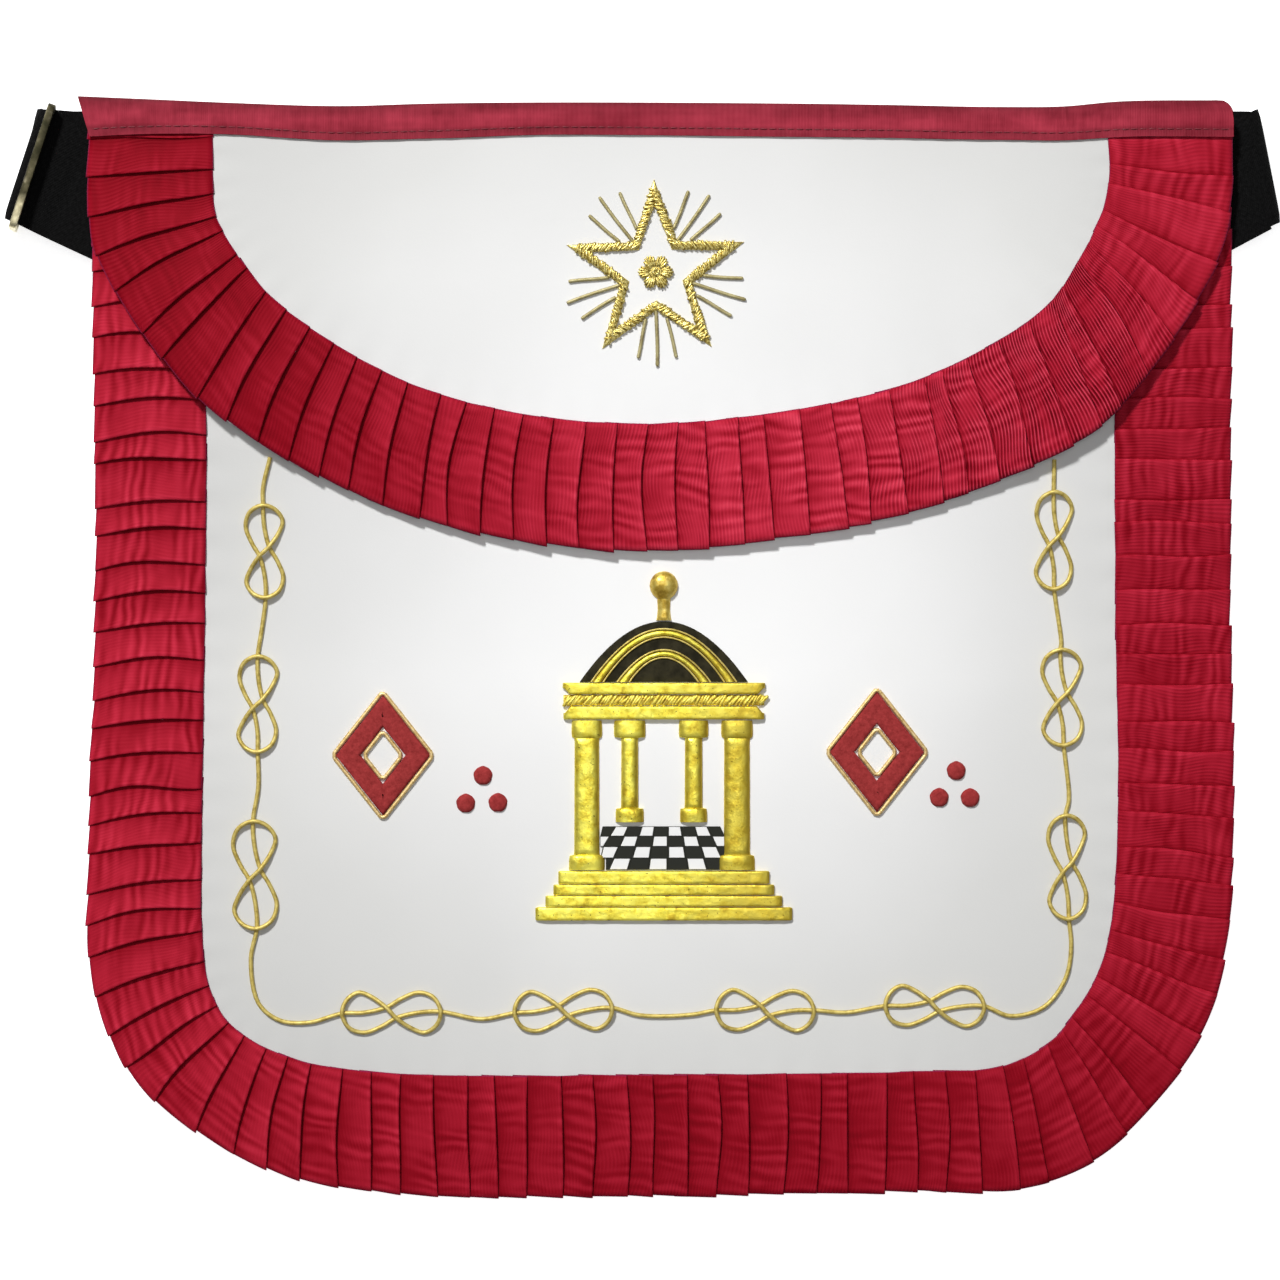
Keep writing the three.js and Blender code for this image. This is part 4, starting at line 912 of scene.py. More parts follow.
def sew_line(name, places, heights, length, radius, finish, slot):
    """A row of stitches along a line of places on a surface."""
    along = running_length(places)
    parts = []
    for start in np.arange(1 * MM, along[-1] - length, length):
        at = start + np.linspace(0.06, 0.9, 6) * length
        plan = read_line(places, at, along)
        z = read_line(heights[:, None], at, along)[:, 0]
        rise = np.array([-0.6, 0.35, 0.7, 0.7, 0.35, -0.6]) * radius
        parts.append(tube(np.column_stack([plan, z + rise]), radius * np.array([0.7, 1, 1, 1, 1, 0.7]), 6))
    points, faces = joined(parts)
    add_piece(name, new_mesh(name, points, faces), finish, slot)
    print(name, "stitches:", len(parts))


def thread_finish(name, colour):
    finish = Finish(name, colour, 0.55, sheen=0.2)
    twist = finish.bump(finish.noise(finish.place(), 3000, 2), 0.05 * MM, 0.5)
    return finish.wire(Normal=twist)


share = np.linspace(0.002, 0.998, 500)
drop = np.interp(share, band_shares, band_heights) - stitch_up
stitch_places = on_band(share, drop)
stitch_heights = (flap_top(stitch_places[:, 0], stitch_places[:, 1]) + rest_gap + band_wall * 0.6
                  + lift_over_pleats(stitch_places[:, 0]) - 0.1 * MM)
sew_line("band_stitches", stitch_places, stitch_heights, stitch_length, 0.17 * MM,
         thread_finish("crimson thread", (0.2, 0.01, 0.022)), "band_ribbon")

# %% [markdown]
# ## The belt
# The belt is black elastic webbing. It is sewn behind both top corners, comes out at a slant, and folds
# back on itself: the left end turns round the middle bar of a brass slide, the right one is just folded.
# Behind the apron both runs meet in a plain clasp. A strap is a flat section carried along a line that
# turns over, so its centres and its lean are run through one smooth curve.

# %% Webbing finish and both runs of the belt
belt_width = 40 * MM
belt_thickness = 1.6 * MM
belt_sewn = 25 * MM
belt_level = 7.5 * MM
belt_exit = apron_width / 2 - 3.3 * MM
clasp_half = 13 * MM
slide_bar = 2.8 * MM
slide_depth = 2.6 * MM
slide_tilt = math.radians(11)
slide_height = 18 * MM
lower_run = belt_thickness / 2
sewn_run = waist_lift - rest_gap - belt_thickness / 2
Stub = namedtuple("Stub", "side reach down slant fold_lean turn_height turn_radius")
left_stub = Stub(-1, 24.2 * MM, 33.1 * MM, 25, 18,
                 (slide_height * math.cos(slide_tilt) + slide_depth * math.sin(slide_tilt)) / 2,
                 math.hypot(slide_bar, slide_depth) / 2 + rest_gap + belt_thickness / 2)
right_stub = Stub(1, 15.2 * MM, 30 * MM, 28, 11, (sewn_run + lower_run) / 2, (sewn_run - lower_run) / 2)


def elastic():
    finish = Finish("black elastic", (0.005, 0.005, 0.005), 0.9, specular=0.04)
    flat = finish.kept("flat_place")
    parts = finish.split(flat)
    across, along = finish.stripes(parts["Y"], 1.3 * MM), finish.stripes(parts["X"], 0.9 * MM)
    weave = finish.bump(finish.times(across, along), 0.12 * MM, 0.6)
    tone = finish.ramp(finish.noise(flat, 900, 2), (0.3, 0.003), (0.7, 0.007))
    return finish.wire(Base_Color=tone, Normal=weave)


elastic_finish = elastic()


def belt_line(stub):
    """Centres and leans from the sewn end, out and round the turn, and back below to the clasp."""
    lower_y = apron_length / 2 - belt_lower_down
    turn_out = stub.reach - stub.turn_radius - belt_thickness / 2
    level_out = min(belt_level, turn_out / 2)

    def on_stub(out, z):
        y = apron_length / 2 - stub.down + out * math.tan(math.radians(stub.slant))
        return [stub.side * (belt_exit + out), y, z]

    rows = [(*on_stub(-belt_sewn, sewn_run), stub.slant), (*on_stub(level_out, sewn_run), stub.slant)]
    for angle in (90, 60, 30, 0, -30, -60, -90):
        turned = math.radians(angle)
        out = turn_out + stub.turn_radius * math.cos(turned)
        x, y, z = on_stub(out, stub.turn_height + stub.turn_radius * math.sin(turned))
        levelled = max(0.0, -math.sin(turned))
        rows.append((x, y + (lower_y - y) * levelled, z, stub.fold_lean * (1 - 0.6 * levelled)))
    for x in (belt_exit + level_out, belt_exit - belt_sewn, clasp_half + side_gap):
        rows.append((stub.side * x, lower_y, lower_run, 0))
    return divided(np.array(rows), 4 * MM)


def divided(rows, step):
    """Rows added along straight spans, so that a smooth curve through them stays straight there."""
    result = [rows[:1]]
    for before, after in zip(rows[:-1], rows[1:]):
        count = max(1, math.ceil(np.linalg.norm((after - before)[:3]) / step))
        result.append(before + (after - before) * (np.arange(1, count + 1) / count)[:, None])
    return np.vstack(result)


def make_belt(name, node, stub):
    rows = belt_line(stub)
    line = smooth_curve(rows * [1, 1, 1, MM], 4) / [1, 1, 1, MM]
    centres, lean = line[:, :3], np.radians(line[:, 3])
    centres[:, 2] = np.maximum(centres[:, 2], lower_run)
    across = np.column_stack([-stub.side * np.sin(lean), np.cos(lean), np.zeros(len(lean))])
    forward = np.gradient(centres, axis=0)
    normal = np.cross(forward, across) * stub.side
    normal /= np.linalg.norm(normal, axis=1, keepdims=True)
    edge = np.linspace(-1, 1, 15)
    half = belt_thickness / 2 * np.sqrt(1 - 0.75 * np.abs(edge) ** 12)
    section = [(w * belt_width / 2, t) for w, t in zip(edge, half)]
    section += [(w * belt_width / 2, -t) for w, t in zip(edge[::-1], half[::-1])]
    section = np.array(section)
    rings = centres[:, None] + section[None, :, :1] * across[:, None]
    rings = rings + section[None, :, 1:] * normal[:, None]
    rings[..., 2] = np.maximum(rings[..., 2], 0)
    rows, columns = rings.shape[:2]
    mesh = new_mesh(name, rings.reshape(-1, 3), capped_faces(rows, columns), sharp=50)
    along = np.broadcast_to(running_length(centres)[:, None], (rows, columns))
    flat = np.stack([along, np.broadcast_to(section[:, 0], (rows, columns)), 0 * along], -1)
    store(mesh, "flat_place", flat.reshape(-1, 3))
    thing = add_piece(name, mesh, elastic_finish, "black_elastic", node)
    print(name, "length in mm:", round(float(along[-1, 0]) / MM))


make_belt("belt_run_left", "belt_left", left_stub)
make_belt("belt_run_right", "belt_right", right_stub)

# %% [markdown]
# ## Slide and clasp
# Both are cheap stamped brass, gone dark and brown, with edges rubbed bright. The slide's lower end is
# painted bright as painted light, and the rest of the slide is painted dark as painted shade and the
# painted reflection of the black strap. Their packed shapes are right, so copies of those meshes are
# used, with their edges rounded by a bevel that catches the light.


# %% Old brass, the slide and the clasp
def old_brass():
    finish = Finish("old brass", (0.2, 0.17, 0.09), 0.38, metallic=1.0)
    place = finish.place()
    patches = finish.noise(place, 220, 4, 0.6)
    dull_and_shaded = finish.ramp(patches, (0.35, (0.035, 0.033, 0.018)), (0.6, (0.09, 0.08, 0.045)),
                       (0.8, (0.28, 0.25, 0.17)))
    bright = finish.ramp(patches, (0.3, (0.3, 0.26, 0.14)), (0.7, (0.75, 0.68, 0.45)))
    # Painted light: the slide's lower end is painted bright, and all above it dark, as painted shade and the
    # painted reflection of the black strap.
    painted_lit_end = finish.ramp(finish.times(finish.split(place)["Y"], 5), (0.765, 1.0), (0.785, 0.0))
    tone = finish.blend(painted_lit_end, dull_and_shaded, bright)
    gloss = finish.ramp(patches, (0.3, 0.5), (0.7, 0.28))
    fine = finish.bump(finish.noise(place, 1500, 2), 0.05 * MM, 0.3)
    return finish.wire(Base_Color=tone, Roughness=gloss, Normal=fine)


brass_finish = old_brass()


def rounded_copy(name, node, radius, finish, slot):
    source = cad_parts[node]
    mesh = source.data.copy()
    mesh.name = name
    mesh.materials.clear()
    thing = add_piece(name, mesh, finish, slot, node)
    weld = thing.modifiers.new("weld", "WELD")
    weld.merge_threshold = 0.01 * MM
    bevel = thing.modifiers.new("rounded edges", "BEVEL")
    bevel.width = radius
    bevel.segments = 3
    bevel.limit_method = "ANGLE"
    bevel.angle_limit = math.radians(30)
    mesh.shade_smooth()
    mesh.set_sharp_from_angle(angle=math.radians(40))
    return thing


slide = rounded_copy("brass_slide", "belt_slide", 0.5 * MM, brass_finish, "old_brass")
clasp = rounded_copy("brass_clasp", "belt_clasp", 0.6 * MM, brass_finish, "old_brass")
print("slide and clasp points:", len(slide.data.vertices), len(clasp.data.vertices))

# %% [markdown]
# ## Gold finishes
# The embroidery uses several golds. Cords are smooth wire wound on thread, foil is beaten metal over a
# padding of felt, and bullion is fine wire wound into a springy tube and cut into short chips. All are
# partly metal in the shader. The foil gets brown patches, pin holes and wrinkles, which is what makes
# it read as beaten gold and not as yellow plastic. The sides of each form, most those that face right,
# and the right part of the temple are painted browner as painted shade, for light from the left.


# %% Gold cord, foil and bullion
def gold(name, dark, mid, bright, patch_scale, bump_scale, bump_depth, roughness, metallic=1.0,
         patch_stops=(0.33, 0.47, 0.66), specks_and_shade=0.0):
    finish = Finish(name, mid, roughness, metallic=metallic)
    place = finish.place()
    patches = finish.noise(place, patch_scale, 4, 0.65)
    tone = finish.ramp(patches, *zip(patch_stops, (dark, mid, bright)))
    if specks_and_shade:
        holes = finish.ramp(finish.noise(place, 1100, 1, 0.5), (0.24, specks_and_shade), (0.31, 0.0))
        tone = finish.blend(holes, tone, (0.1, 0.06, 0.006))
        # Painted shade: sides of a form that face right, and less those that face left, are painted brown,
        # and the right part of the temple too, for light from the left.
        facing = finish.split(finish.add("ShaderNodeTexCoord").outputs["Normal"])["X"]
        painted_side_shade = finish.ramp(finish.plus(finish.times(facing, 0.5), 0.5),
                              (0.3, 0.35), (0.42, 0.0), (0.6, 0.0), (0.78, 0.75))
        tone = finish.blend(painted_side_shade, tone, (0.42, 0.27, 0.02))
        painted_right_shade = finish.ramp(finish.plus(finish.times(finish.split(place)["X"], 5), 0.5),
                               (0.53, 0.0), (0.68, 0.6))
        tone = finish.blend(painted_right_shade, tone, (0.55, 0.37, 0.03))
    beaten = finish.bump(finish.noise(place, bump_scale, 3, 0.6), bump_depth, 0.8)
    gloss = finish.noise(place, bump_scale * 0.6, 2)
    gloss = finish.ramp(gloss, (0.3, roughness - 0.1), (0.7, roughness + 0.12))
    return finish.wire(Base_Color=tone, Normal=beaten, Roughness=gloss)


cord_finish = gold("gold cord", (0.42, 0.31, 0.06), (0.62, 0.48, 0.12), (0.76, 0.62, 0.2), 500, 2600,
                   0.08 * MM, 0.5, 0.45)
foil_finish = gold("gold foil", (0.56, 0.39, 0.02), (0.9, 0.76, 0.07), (0.99, 0.9, 0.13), 210, 620,
                   0.22 * MM, 0.42, 0.7, (0.3, 0.44, 0.56), 0.9)
ball_finish = gold("gold ball", (0.34, 0.2, 0.02), (0.6, 0.4, 0.05), (0.85, 0.68, 0.18), 260, 1500,
                   0.12 * MM, 0.4, 0.6)
rope_finish = gold("gold rope", (0.42, 0.28, 0.03), (0.74, 0.58, 0.07), (0.92, 0.8, 0.16), 500, 1800,
                   0.1 * MM, 0.46, 0.55)
bullion_finish = gold("gold bullion", (0.36, 0.25, 0.05), (0.72, 0.58, 0.16), (0.95, 0.86, 0.42), 1100, 2400,
                      0.1 * MM, 0.36, 0.8, (0.4, 0.5, 0.68))
ray_finish = gold("ray cord", (0.28, 0.23, 0.1), (0.42, 0.36, 0.16), (0.52, 0.46, 0.24), 300, 2600,
                  0.08 * MM, 0.5, 0.4)
print("golds:", [material.name for material in bpy.data.materials if "gold" in material.name])

# %% [markdown]
# ## The knotted cord
# One gold cord runs round the body and is tied into ten flat figure-eight knots. It is sewn down all the
# way, so it has no slack of its own. One table ties a knot, in shares of its length and width, and a
# second says where the knots and the points between them lie. A smooth curve through all of them gives
# the cord's middle line, raised where the cord crosses over itself.

# %% Tie and lay the cord
cord_diameter = 1.75 * MM
knot_length = 34 * MM
knot_width = 16.4 * MM
knot_step = 1.95 * MM
Tie = namedtuple("Tie", "along aside over")
knot = [
    Tie(0.0, 0.0, 0), Tie(0.22, 0.02, 0), Tie(0.45, 0.26, 0), Tie(0.6, 0.66, 0), Tie(0.78, 0.95, 0),
    Tie(0.93, 0.7, 0.5), Tie(1.0, 0.0, 1), Tie(0.95, -0.66, 0.5), Tie(0.83, -1.0, 0), Tie(0.7, -0.78, 0.2),
    Tie(0.55, -0.26, 1), Tie(0.45, 0.26, 1), Tie(0.3, 0.78, 0.2), Tie(0.17, 1.0, 0), Tie(0.05, 0.66, 0.5),
    Tie(0.0, 0.0, 1), Tie(0.07, -0.7, 0.5), Tie(0.22, -0.95, 0), Tie(0.4, -0.66, 0), Tie(0.55, -0.26, 0),
    Tie(0.78, -0.02, 0), Tie(1.0, 0.0, 0),
]
Stop = namedtuple("Stop", "x down turn length width", defaults=(None, None, None))
cord_way = [
    Stop(-0.675, 0.3245), Stop(-0.688, 0.352), Stop(-0.687, 0.41, -89, 0.94, 0.9), Stop(-0.692, 0.478),
    Stop(-0.7, 0.549, -90, 0.98, 0.92), Stop(-0.699, 0.625), Stop(-0.705, 0.705, -88, 1.1, 1.04),
    Stop(-0.712, 0.782), Stop(-0.699, 0.822), Stop(-0.662, 0.838), Stop(-0.61, 0.84),
    Stop(-0.467, 0.831, 1, 1.01, 0.98), Stop(-0.31, 0.837), Stop(-0.168, 0.829, 3, 1.0, 0.96),
    Stop(-0.035, 0.8335), Stop(0.055, 0.833), Stop(0.183, 0.829, 0, 1.0, 0.97), Stop(0.325, 0.831),
    Stop(0.478, 0.825, 0, 1.01, 0.96), Stop(0.61, 0.834), Stop(0.668, 0.826), Stop(0.706, 0.8),
    Stop(0.716, 0.771), Stop(0.709, 0.698, 92, 1.06, 0.9), Stop(0.712, 0.636),
    Stop(0.7, 0.543, 92, 0.98, 0.95), Stop(0.6985, 0.4925), Stop(0.684, 0.4, 91, 0.99, 0.86),
    Stop(0.683, 0.3265),
]


def cord_points():
    points = []
    for stop in cord_way:
        centre = on_face(stop.x, stop.down)
        if stop.turn is None:
            points.append((*centre, 0.0))
            continue
        turn = math.radians(stop.turn)
        forward = np.array([math.cos(turn), math.sin(turn)])
        left = np.array([-forward[1], forward[0]])
        for tie in knot:
            place = centre + forward * (tie.along - 0.5) * stop.length * knot_length
            place = place + left * tie.aside * stop.width * (knot_width - cord_diameter) / 2
            points.append((*place, tie.over * knot_step))
    return np.array(points)


def lay_cord():
    line = smooth_curve(cord_points(), 6)
    over = np.clip(line[:, 2], 0, knot_step)
    z = body_top(line[:, 0], line[:, 1]) + cord_diameter * 0.36 + over * 0.62
    centres = np.column_stack([line[:, :2], z])
    print("cord length in mm:", round(float(running_length(centres)[-1]) / MM))
    add_form("gold_cord", tube(centres, cord_diameter * 0.43, 10), cord_finish, "gold_cord", "knotted_cord")


lay_cord()

# %% [markdown]
# ## Padded forms
# Raised metal embroidery is laid over a padding of felt. Each form is a low cushion: straight sides that
# round over into an almost flat top. A section in the shape of a squared oval, carried along a line whose
# width and height may change, gives beams, steps, columns and frames. A little seeded noise dents them.


# %% Padded bars, frames and cushions
def padded_section(points=13, power=2.6):
    """Across from -1 to 1 and height from 0 to 1, round over the top, then back along the base."""
    across = -np.cos(np.linspace(0, np.pi, points))
    height = (1 - np.abs(across) ** power) ** (1 / power)
    height[[0, -1]] = 0
    return across, height


def dented(points, amount, scale):
    """Moves points up or down a little by smooth noise that is the same on every run."""
    moves = [noise.noise(Vector(point) * scale) for point in points]
    return points + np.column_stack([np.zeros((len(points), 2)), np.array(moves) * amount])


def padded_bar(start, end, rows, ground, power=2.6, cell=1.2 * MM, dent=0.12 * MM, points=13):
    """A straight form. Each row is (share along, half width, height, sideways shift)."""
    start, end = np.asarray(start, float), np.asarray(end, float)
    length = float(np.linalg.norm(end - start))
    rows = np.array([list(row) + [0.0] * (4 - len(row)) for row in rows])
    marks = [np.linspace(a, b, max(2, math.ceil((b - a) * length / cell) + 1))[:-1]
             for a, b in zip(rows[:-1, 0], rows[1:, 0])]
    share = np.concatenate(marks + [rows[-1:, 0]])
    half, height, shift = (np.interp(share, rows[:, 0], rows[:, k]) for k in (1, 2, 3))
    forward = (end - start) / length
    left = np.array([-forward[1], forward[0]])
    across, rise = padded_section(points, power)
    plan = start + share[:, None, None] * (end - start)
    plan = plan + (shift[:, None] + half[:, None] * across)[..., None] * left
    z = ground(plan[..., 0], plan[..., 1]) + rise * height[:, None]
    shape = np.concatenate([plan, z[..., None]], -1).reshape(-1, 3)
    moved = dented(shape, dent, 400)
    base = np.tile(rise == 0, len(share))
    shape[~base] = moved[~base]
    return shape, capped_faces(len(share), points)


def padded_frame(corners, width, height, ground, cell=1.4 * MM, power=2.4, points=9):
    """A padded line round a closed outline, with mitred corners."""
    corners = np.asarray(corners, float)
    outline, mitres = [], []
    for i, corner in enumerate(corners):
        before = corner - corners[i - 1]
        after = corners[(i + 1) % len(corners)] - corner
        length = np.linalg.norm(after)
        before, after = before / np.linalg.norm(before), after / length
        normal = np.array([-after[1], after[0]])
        mitre = np.array([-before[1] - after[1], before[0] + after[0]])
        mitre /= np.linalg.norm(mitre)
        outline.append(corner)
        mitres.append(mitre / abs(mitre @ normal))
        for share in np.linspace(0, 1, max(2, int(length / cell)))[1:-1]:
            outline.append(corner + (corners[(i + 1) % len(corners)] - corner) * share)
            mitres.append(normal)
    outline, mitres = np.array(outline), np.array(mitres)
    across, rise = padded_section(points, power)
    plan = outline[:, None] + across[None, :, None] * width / 2 * mitres[:, None]
    z = ground(plan[..., 0], plan[..., 1]) + rise * height
    shape = np.concatenate([plan, z[..., None]], -1).reshape(-1, 3)
    return dented(shape, 0.06 * MM, 500), grid_faces(len(outline), points, ring=True, endless=True)


def cushion(centre, radius_at, height, ground, sides=48, rings=8, power=2.2):
    """A round or lobed cushion from a middle point and rings that drop towards the rim."""
    centre = np.asarray(centre, float)
    angle = np.arange(sides) * 2 * np.pi / sides
    reach = np.array([radius_at(a) for a in angle])
    points, faces = [], []
    for share in np.linspace(1, 1 / rings, rings):
        plan = centre + (share * reach)[:, None] * np.column_stack([np.cos(angle), np.sin(angle)])
        rise = (1 - share**power) ** (1 / power) * height
        points.append(np.column_stack([plan, ground(plan[:, 0], plan[:, 1]) + rise]))
    points.append([[*centre, float(ground(centre[0], centre[1])) + height]])
    points = np.vstack(points)
    faces = grid_faces(rings, sides, ring=True)
    tip, inner = rings * sides, (rings - 1) * sides
    faces += [[inner + k, inner + (k + 1) % sides, tip][::-1] for k in range(sides)]
    faces.append(list(range(sides)))
    return points, faces


print("points across a padded form:", len(padded_section()[0]))

# %% [markdown]
# ## Bullion chips
# Cut bullion is a tight coil of fine wire, snipped into chips a few millimetres long and sewn down over
# padding like beads. Each chip is a small ribbed tube. They are laid side by side at a slant, turned and
# lifted a little at random from a seeded source, and joined into one mesh.


# %% Coils of bullion
def chip(middle, direction, length, radius, rng, coils=6, sides=7):
    """One chip: a tube whose radius swells and narrows with each turn of the wire."""
    steps = coils * 2 + 1
    share = np.linspace(-0.5, 0.5, steps)
    direction = np.asarray(direction, float)
    direction = direction / np.linalg.norm(direction)
    arch = (0.25 - share**2) * rng.uniform(0.6, 1.4) * radius * 2
    centres = np.asarray(middle, float) + share[:, None] * length * direction
    centres[:, 2] += arch
    wave = 1 + 0.12 * np.cos(np.arange(steps) * np.pi)
    ends = 1 - 0.35 * (np.abs(share) > 0.49)
    return tube(centres, radius * wave * ends, sides, rng.uniform(0, 1))


def chips_along(line, width, ground, rng, slant, spacing=0.85 * MM, radius=0.52 * MM, lift=0.9 * MM,
                jitter=13):
    """Chips laid at a slant across a band that follows a line of places."""
    line = np.asarray(line, float)
    along = running_length(line)
    parts = []
    for distance in np.arange(spacing / 2, along[-1], spacing):
        place = read_line(line, np.array([distance]), along)[0]
        ahead = read_line(line, np.array([min(distance + 0.5 * MM, along[-1])]), along)[0]
        behind = read_line(line, np.array([max(distance - 0.5 * MM, 0)]), along)[0]
        heading = math.atan2(*(ahead - behind)[::-1]) + math.radians(slant + rng.normal(0, jitter))
        direction = np.array([math.cos(heading), math.sin(heading), 0.0])
        side = np.array([-math.sin(heading), math.cos(heading)])
        middle = place + side * rng.normal(0, 0.06) * width
        z = float(ground(middle[0], middle[1])) + lift * rng.uniform(0.75, 1.1)
        length = min(width / max(0.5, math.sin(math.radians(slant))), width * 1.25)
        length = length * rng.uniform(0.8, 1.05)
        parts.append(chip([*middle, z], direction, length, radius, rng))
    return parts


# %% [markdown]
# ## The star
# The star on the flap is a five-pointed outline of bullion with fifteen thin rays of cord, three in each
# notch. Its middle holds a plain six-petalled rosette. A low padded frame lies under the chips, so that
# no leather shows between them.

# %% Star outline
star_centre = np.array([-1.5 * MM, apron_length / 2 - 60.3 * MM])
star_tip = 28 * MM
star_notch = 11.3 * MM
star_turn = 1
bullion_width = 3.3 * MM


def from_star(angle, radius):
    turned = math.radians(angle + star_turn)
    return star_centre + radius * np.array([math.cos(turned), math.sin(turned)])


def make_star():
    rng = np.random.default_rng(5)
    corners = [from_star(90 + 36 * i, star_notch if i % 2 else star_tip) for i in range(10)]
    parts = [padded_frame(corners, bullion_width * 0.86, 1.0 * MM, flap_top)]
    for i, corner in enumerate(corners):
        line = [corner, corners[(i + 1) % 10]]
        parts += chips_along(line, bullion_width * 0.94, flap_top, rng, 52 if i % 2 else 128)
    print("lines of chips on the star:", len(corners))
    add_form("star", joined(parts), bullion_finish, "gold_bullion", "star_outline", 70)


make_star()

# %% [markdown]
# ## The rays
# Each ray is one straight length of twisted cord, couched down. A rope could be modelled as two wires
# wound round each other, but at this size a single tube whose outline swells once for each ply, turning as
# it goes, looks the same for a fraction of the faces. Three rays leave each notch of the star.


# %% Rays of cord
ray_width = 1.3 * MM
ray_spread = 12.8
middle_ray = (13 * MM, 32.4 * MM)
side_ray = (16.2 * MM, 30.2 * MM)


def twisted(centres, radius, pitch, plies=2, sides=10):
    """A cord whose outline swells where its plies lie, turning once in each pitch."""
    centres = np.asarray(centres, float)
    points, faces = tube(centres, radius, sides)
    rings = points.reshape(len(centres), sides, 3)
    along = running_length(centres)[:, None]
    angle = np.arange(sides)[None, :] * 2 * np.pi / sides
    swell = 1 - 0.14 * (1 - np.abs(np.cos(plies / 2 * (angle - 2 * np.pi * along / pitch))))
    rings = centres[:, None] + (rings - centres[:, None]) * swell[..., None]
    return rings.reshape(-1, 3), faces


def lay_ray(number, notch, side):
    angle = 54 + 72 * notch + side * ray_spread
    begin, end = middle_ray if side == 0 else side_ray
    share = np.linspace(0, 1, 40)[:, None]
    plan = from_star(angle, begin) * (1 - share) + from_star(angle, end) * share
    sway = 0.12 * MM * np.sin(share[:, 0] * 5 + number)
    turned = math.radians(angle)
    plan = plan + sway[:, None] * np.array([-math.sin(turned), math.cos(turned)])
    z = flap_top(plan[:, 0], plan[:, 1]) + ray_width * 0.4
    ends = 1 - 0.4 * (np.abs(share[:, 0] - 0.5) > 0.48)
    shape = twisted(np.column_stack([plan, z]), ray_width / 2 * ends, 2.6 * MM)
    return add_form(f"ray_{number}", shape, ray_finish, "gold_cord", f"star_ray_{number}", 70)


rays = [lay_ray(3 * notch + side + 2, notch, side) for notch in range(5) for side in (-1, 0, 1)]
print("rays:", len(rays))

# %% [markdown]
# ## The rosette
# The middle of the star holds a small flower of the same cut bullion. Its outline is a circle whose
# radius swells six times, which a cosine gives, and chips laid outwards on each petal and in a ring
# round the middle cover the padding.

# %% Rosette inside the star
rosette_radius = 6.3 * MM


def petal_reach(angle):
    return rosette_radius * (0.74 + 0.26 * abs(math.cos(3 * angle)))


def make_rosette():
    rng = np.random.default_rng(8)
    parts = [cushion(star_centre, lambda a: petal_reach(a) * 0.9, 0.9 * MM, flap_top, 72)]
    for petal in range(6):
        for offset in (-0.34, -0.17, 0, 0.17, 0.34):
            angle = petal * math.pi / 3 + offset
            reach = petal_reach(angle)
            direction = np.array([math.cos(angle), math.sin(angle), 0.0])
            middle = np.append(star_centre, 0) + direction * (reach * 0.66)
            middle[2] = float(flap_top(middle[0], middle[1])) + 0.85 * MM
            parts.append(chip(middle, direction, reach * 0.62, 0.46 * MM, rng, coils=5))
    for k in range(7):
        angle = k * 2 * math.pi / 7
        middle = star_centre + 0.9 * MM * np.array([math.cos(angle), math.sin(angle)])
        z = float(flap_top(*middle)) + 1.2 * MM
        parts.append(chip([*middle, z], [math.cos(angle + 1.2), math.sin(angle + 1.2), 0], 1.6 * MM,
                          0.45 * MM, rng, coils=3))
    print("rosette chips:", len(parts) - 1)
    add_form("rosette_chips", joined(parts), bullion_finish, "gold_bullion", "rosette", 70)


make_rosette()

# %% [markdown]
# ## The temple
# Under the flap stands a small round temple in padded gold: four steps, a chequered floor, two columns in
# front and two behind, a beam of three courses, a dark dome with two gold arches, and a ball on a stem.
# Its table of shares is that of the packed model, so each form covers its own node.

# %% Steps and beams
temple_width = 89.4 * MM
temple_height = 121.6 * MM
temple_place = (0.007, 0.4278)
Course = namedtuple("Course", "node half top bottom flare", defaults=(0,))
steps = [
    Course("temple_step_1", 0.411, 0.858, 0.895), Course("temple_step_2", 0.43, 0.897, 0.927),
    Course("temple_step_3", 0.461, 0.929, 0.96), Course("temple_step_4", 0.5, 0.962, 1.0),
]
beams = [
    Course("temple_cornice", 0.394, 0.319, 0.352, 1), Course("temple_architrave", 0.391, 0.386, 0.424, -1),
]


def in_temple(x, down):
    return on_face(*temple_place) + np.array([x * temple_width, -down * temple_height])


def lay_course(course, height):
    middle = (course.top + course.bottom) / 2
    thick = (course.bottom - course.top) * temple_height / 2
    tip = thick / 2 if course.flare else thick
    shift = course.flare * thick / 2
    end = [(0, tip * 0.9, height * 0.55, shift), (0.008, tip, height * 0.8, shift), (0.035, thick, height, 0)]
    rows = end + [(1 - share, *values) for share, *values in end[::-1]]
    shape = padded_bar(in_temple(-course.half, middle), in_temple(course.half, middle), rows,
                       body_top, power=8, cell=0.8 * MM, dent=0.14 * MM)
    return add_form(course.node.replace("temple_", "gold_"), shape, foil_finish, "gold_foil", course.node)


courses = [lay_course(course, height) for group, height in ((steps, 1.9 * MM), (beams, 2.3 * MM))
           for course in group]
print("courses:", len(courses))

# %% [markdown]
# ## The rope between the beams
# A thick gold rope fills the gap between the two beams. It could be the twisted tube again, but this one
# is as wide as a beam, and its plies stand out one by one. So one short coil for each turn of a ply is
# laid at a slant over a low padding, with hardly any disorder.


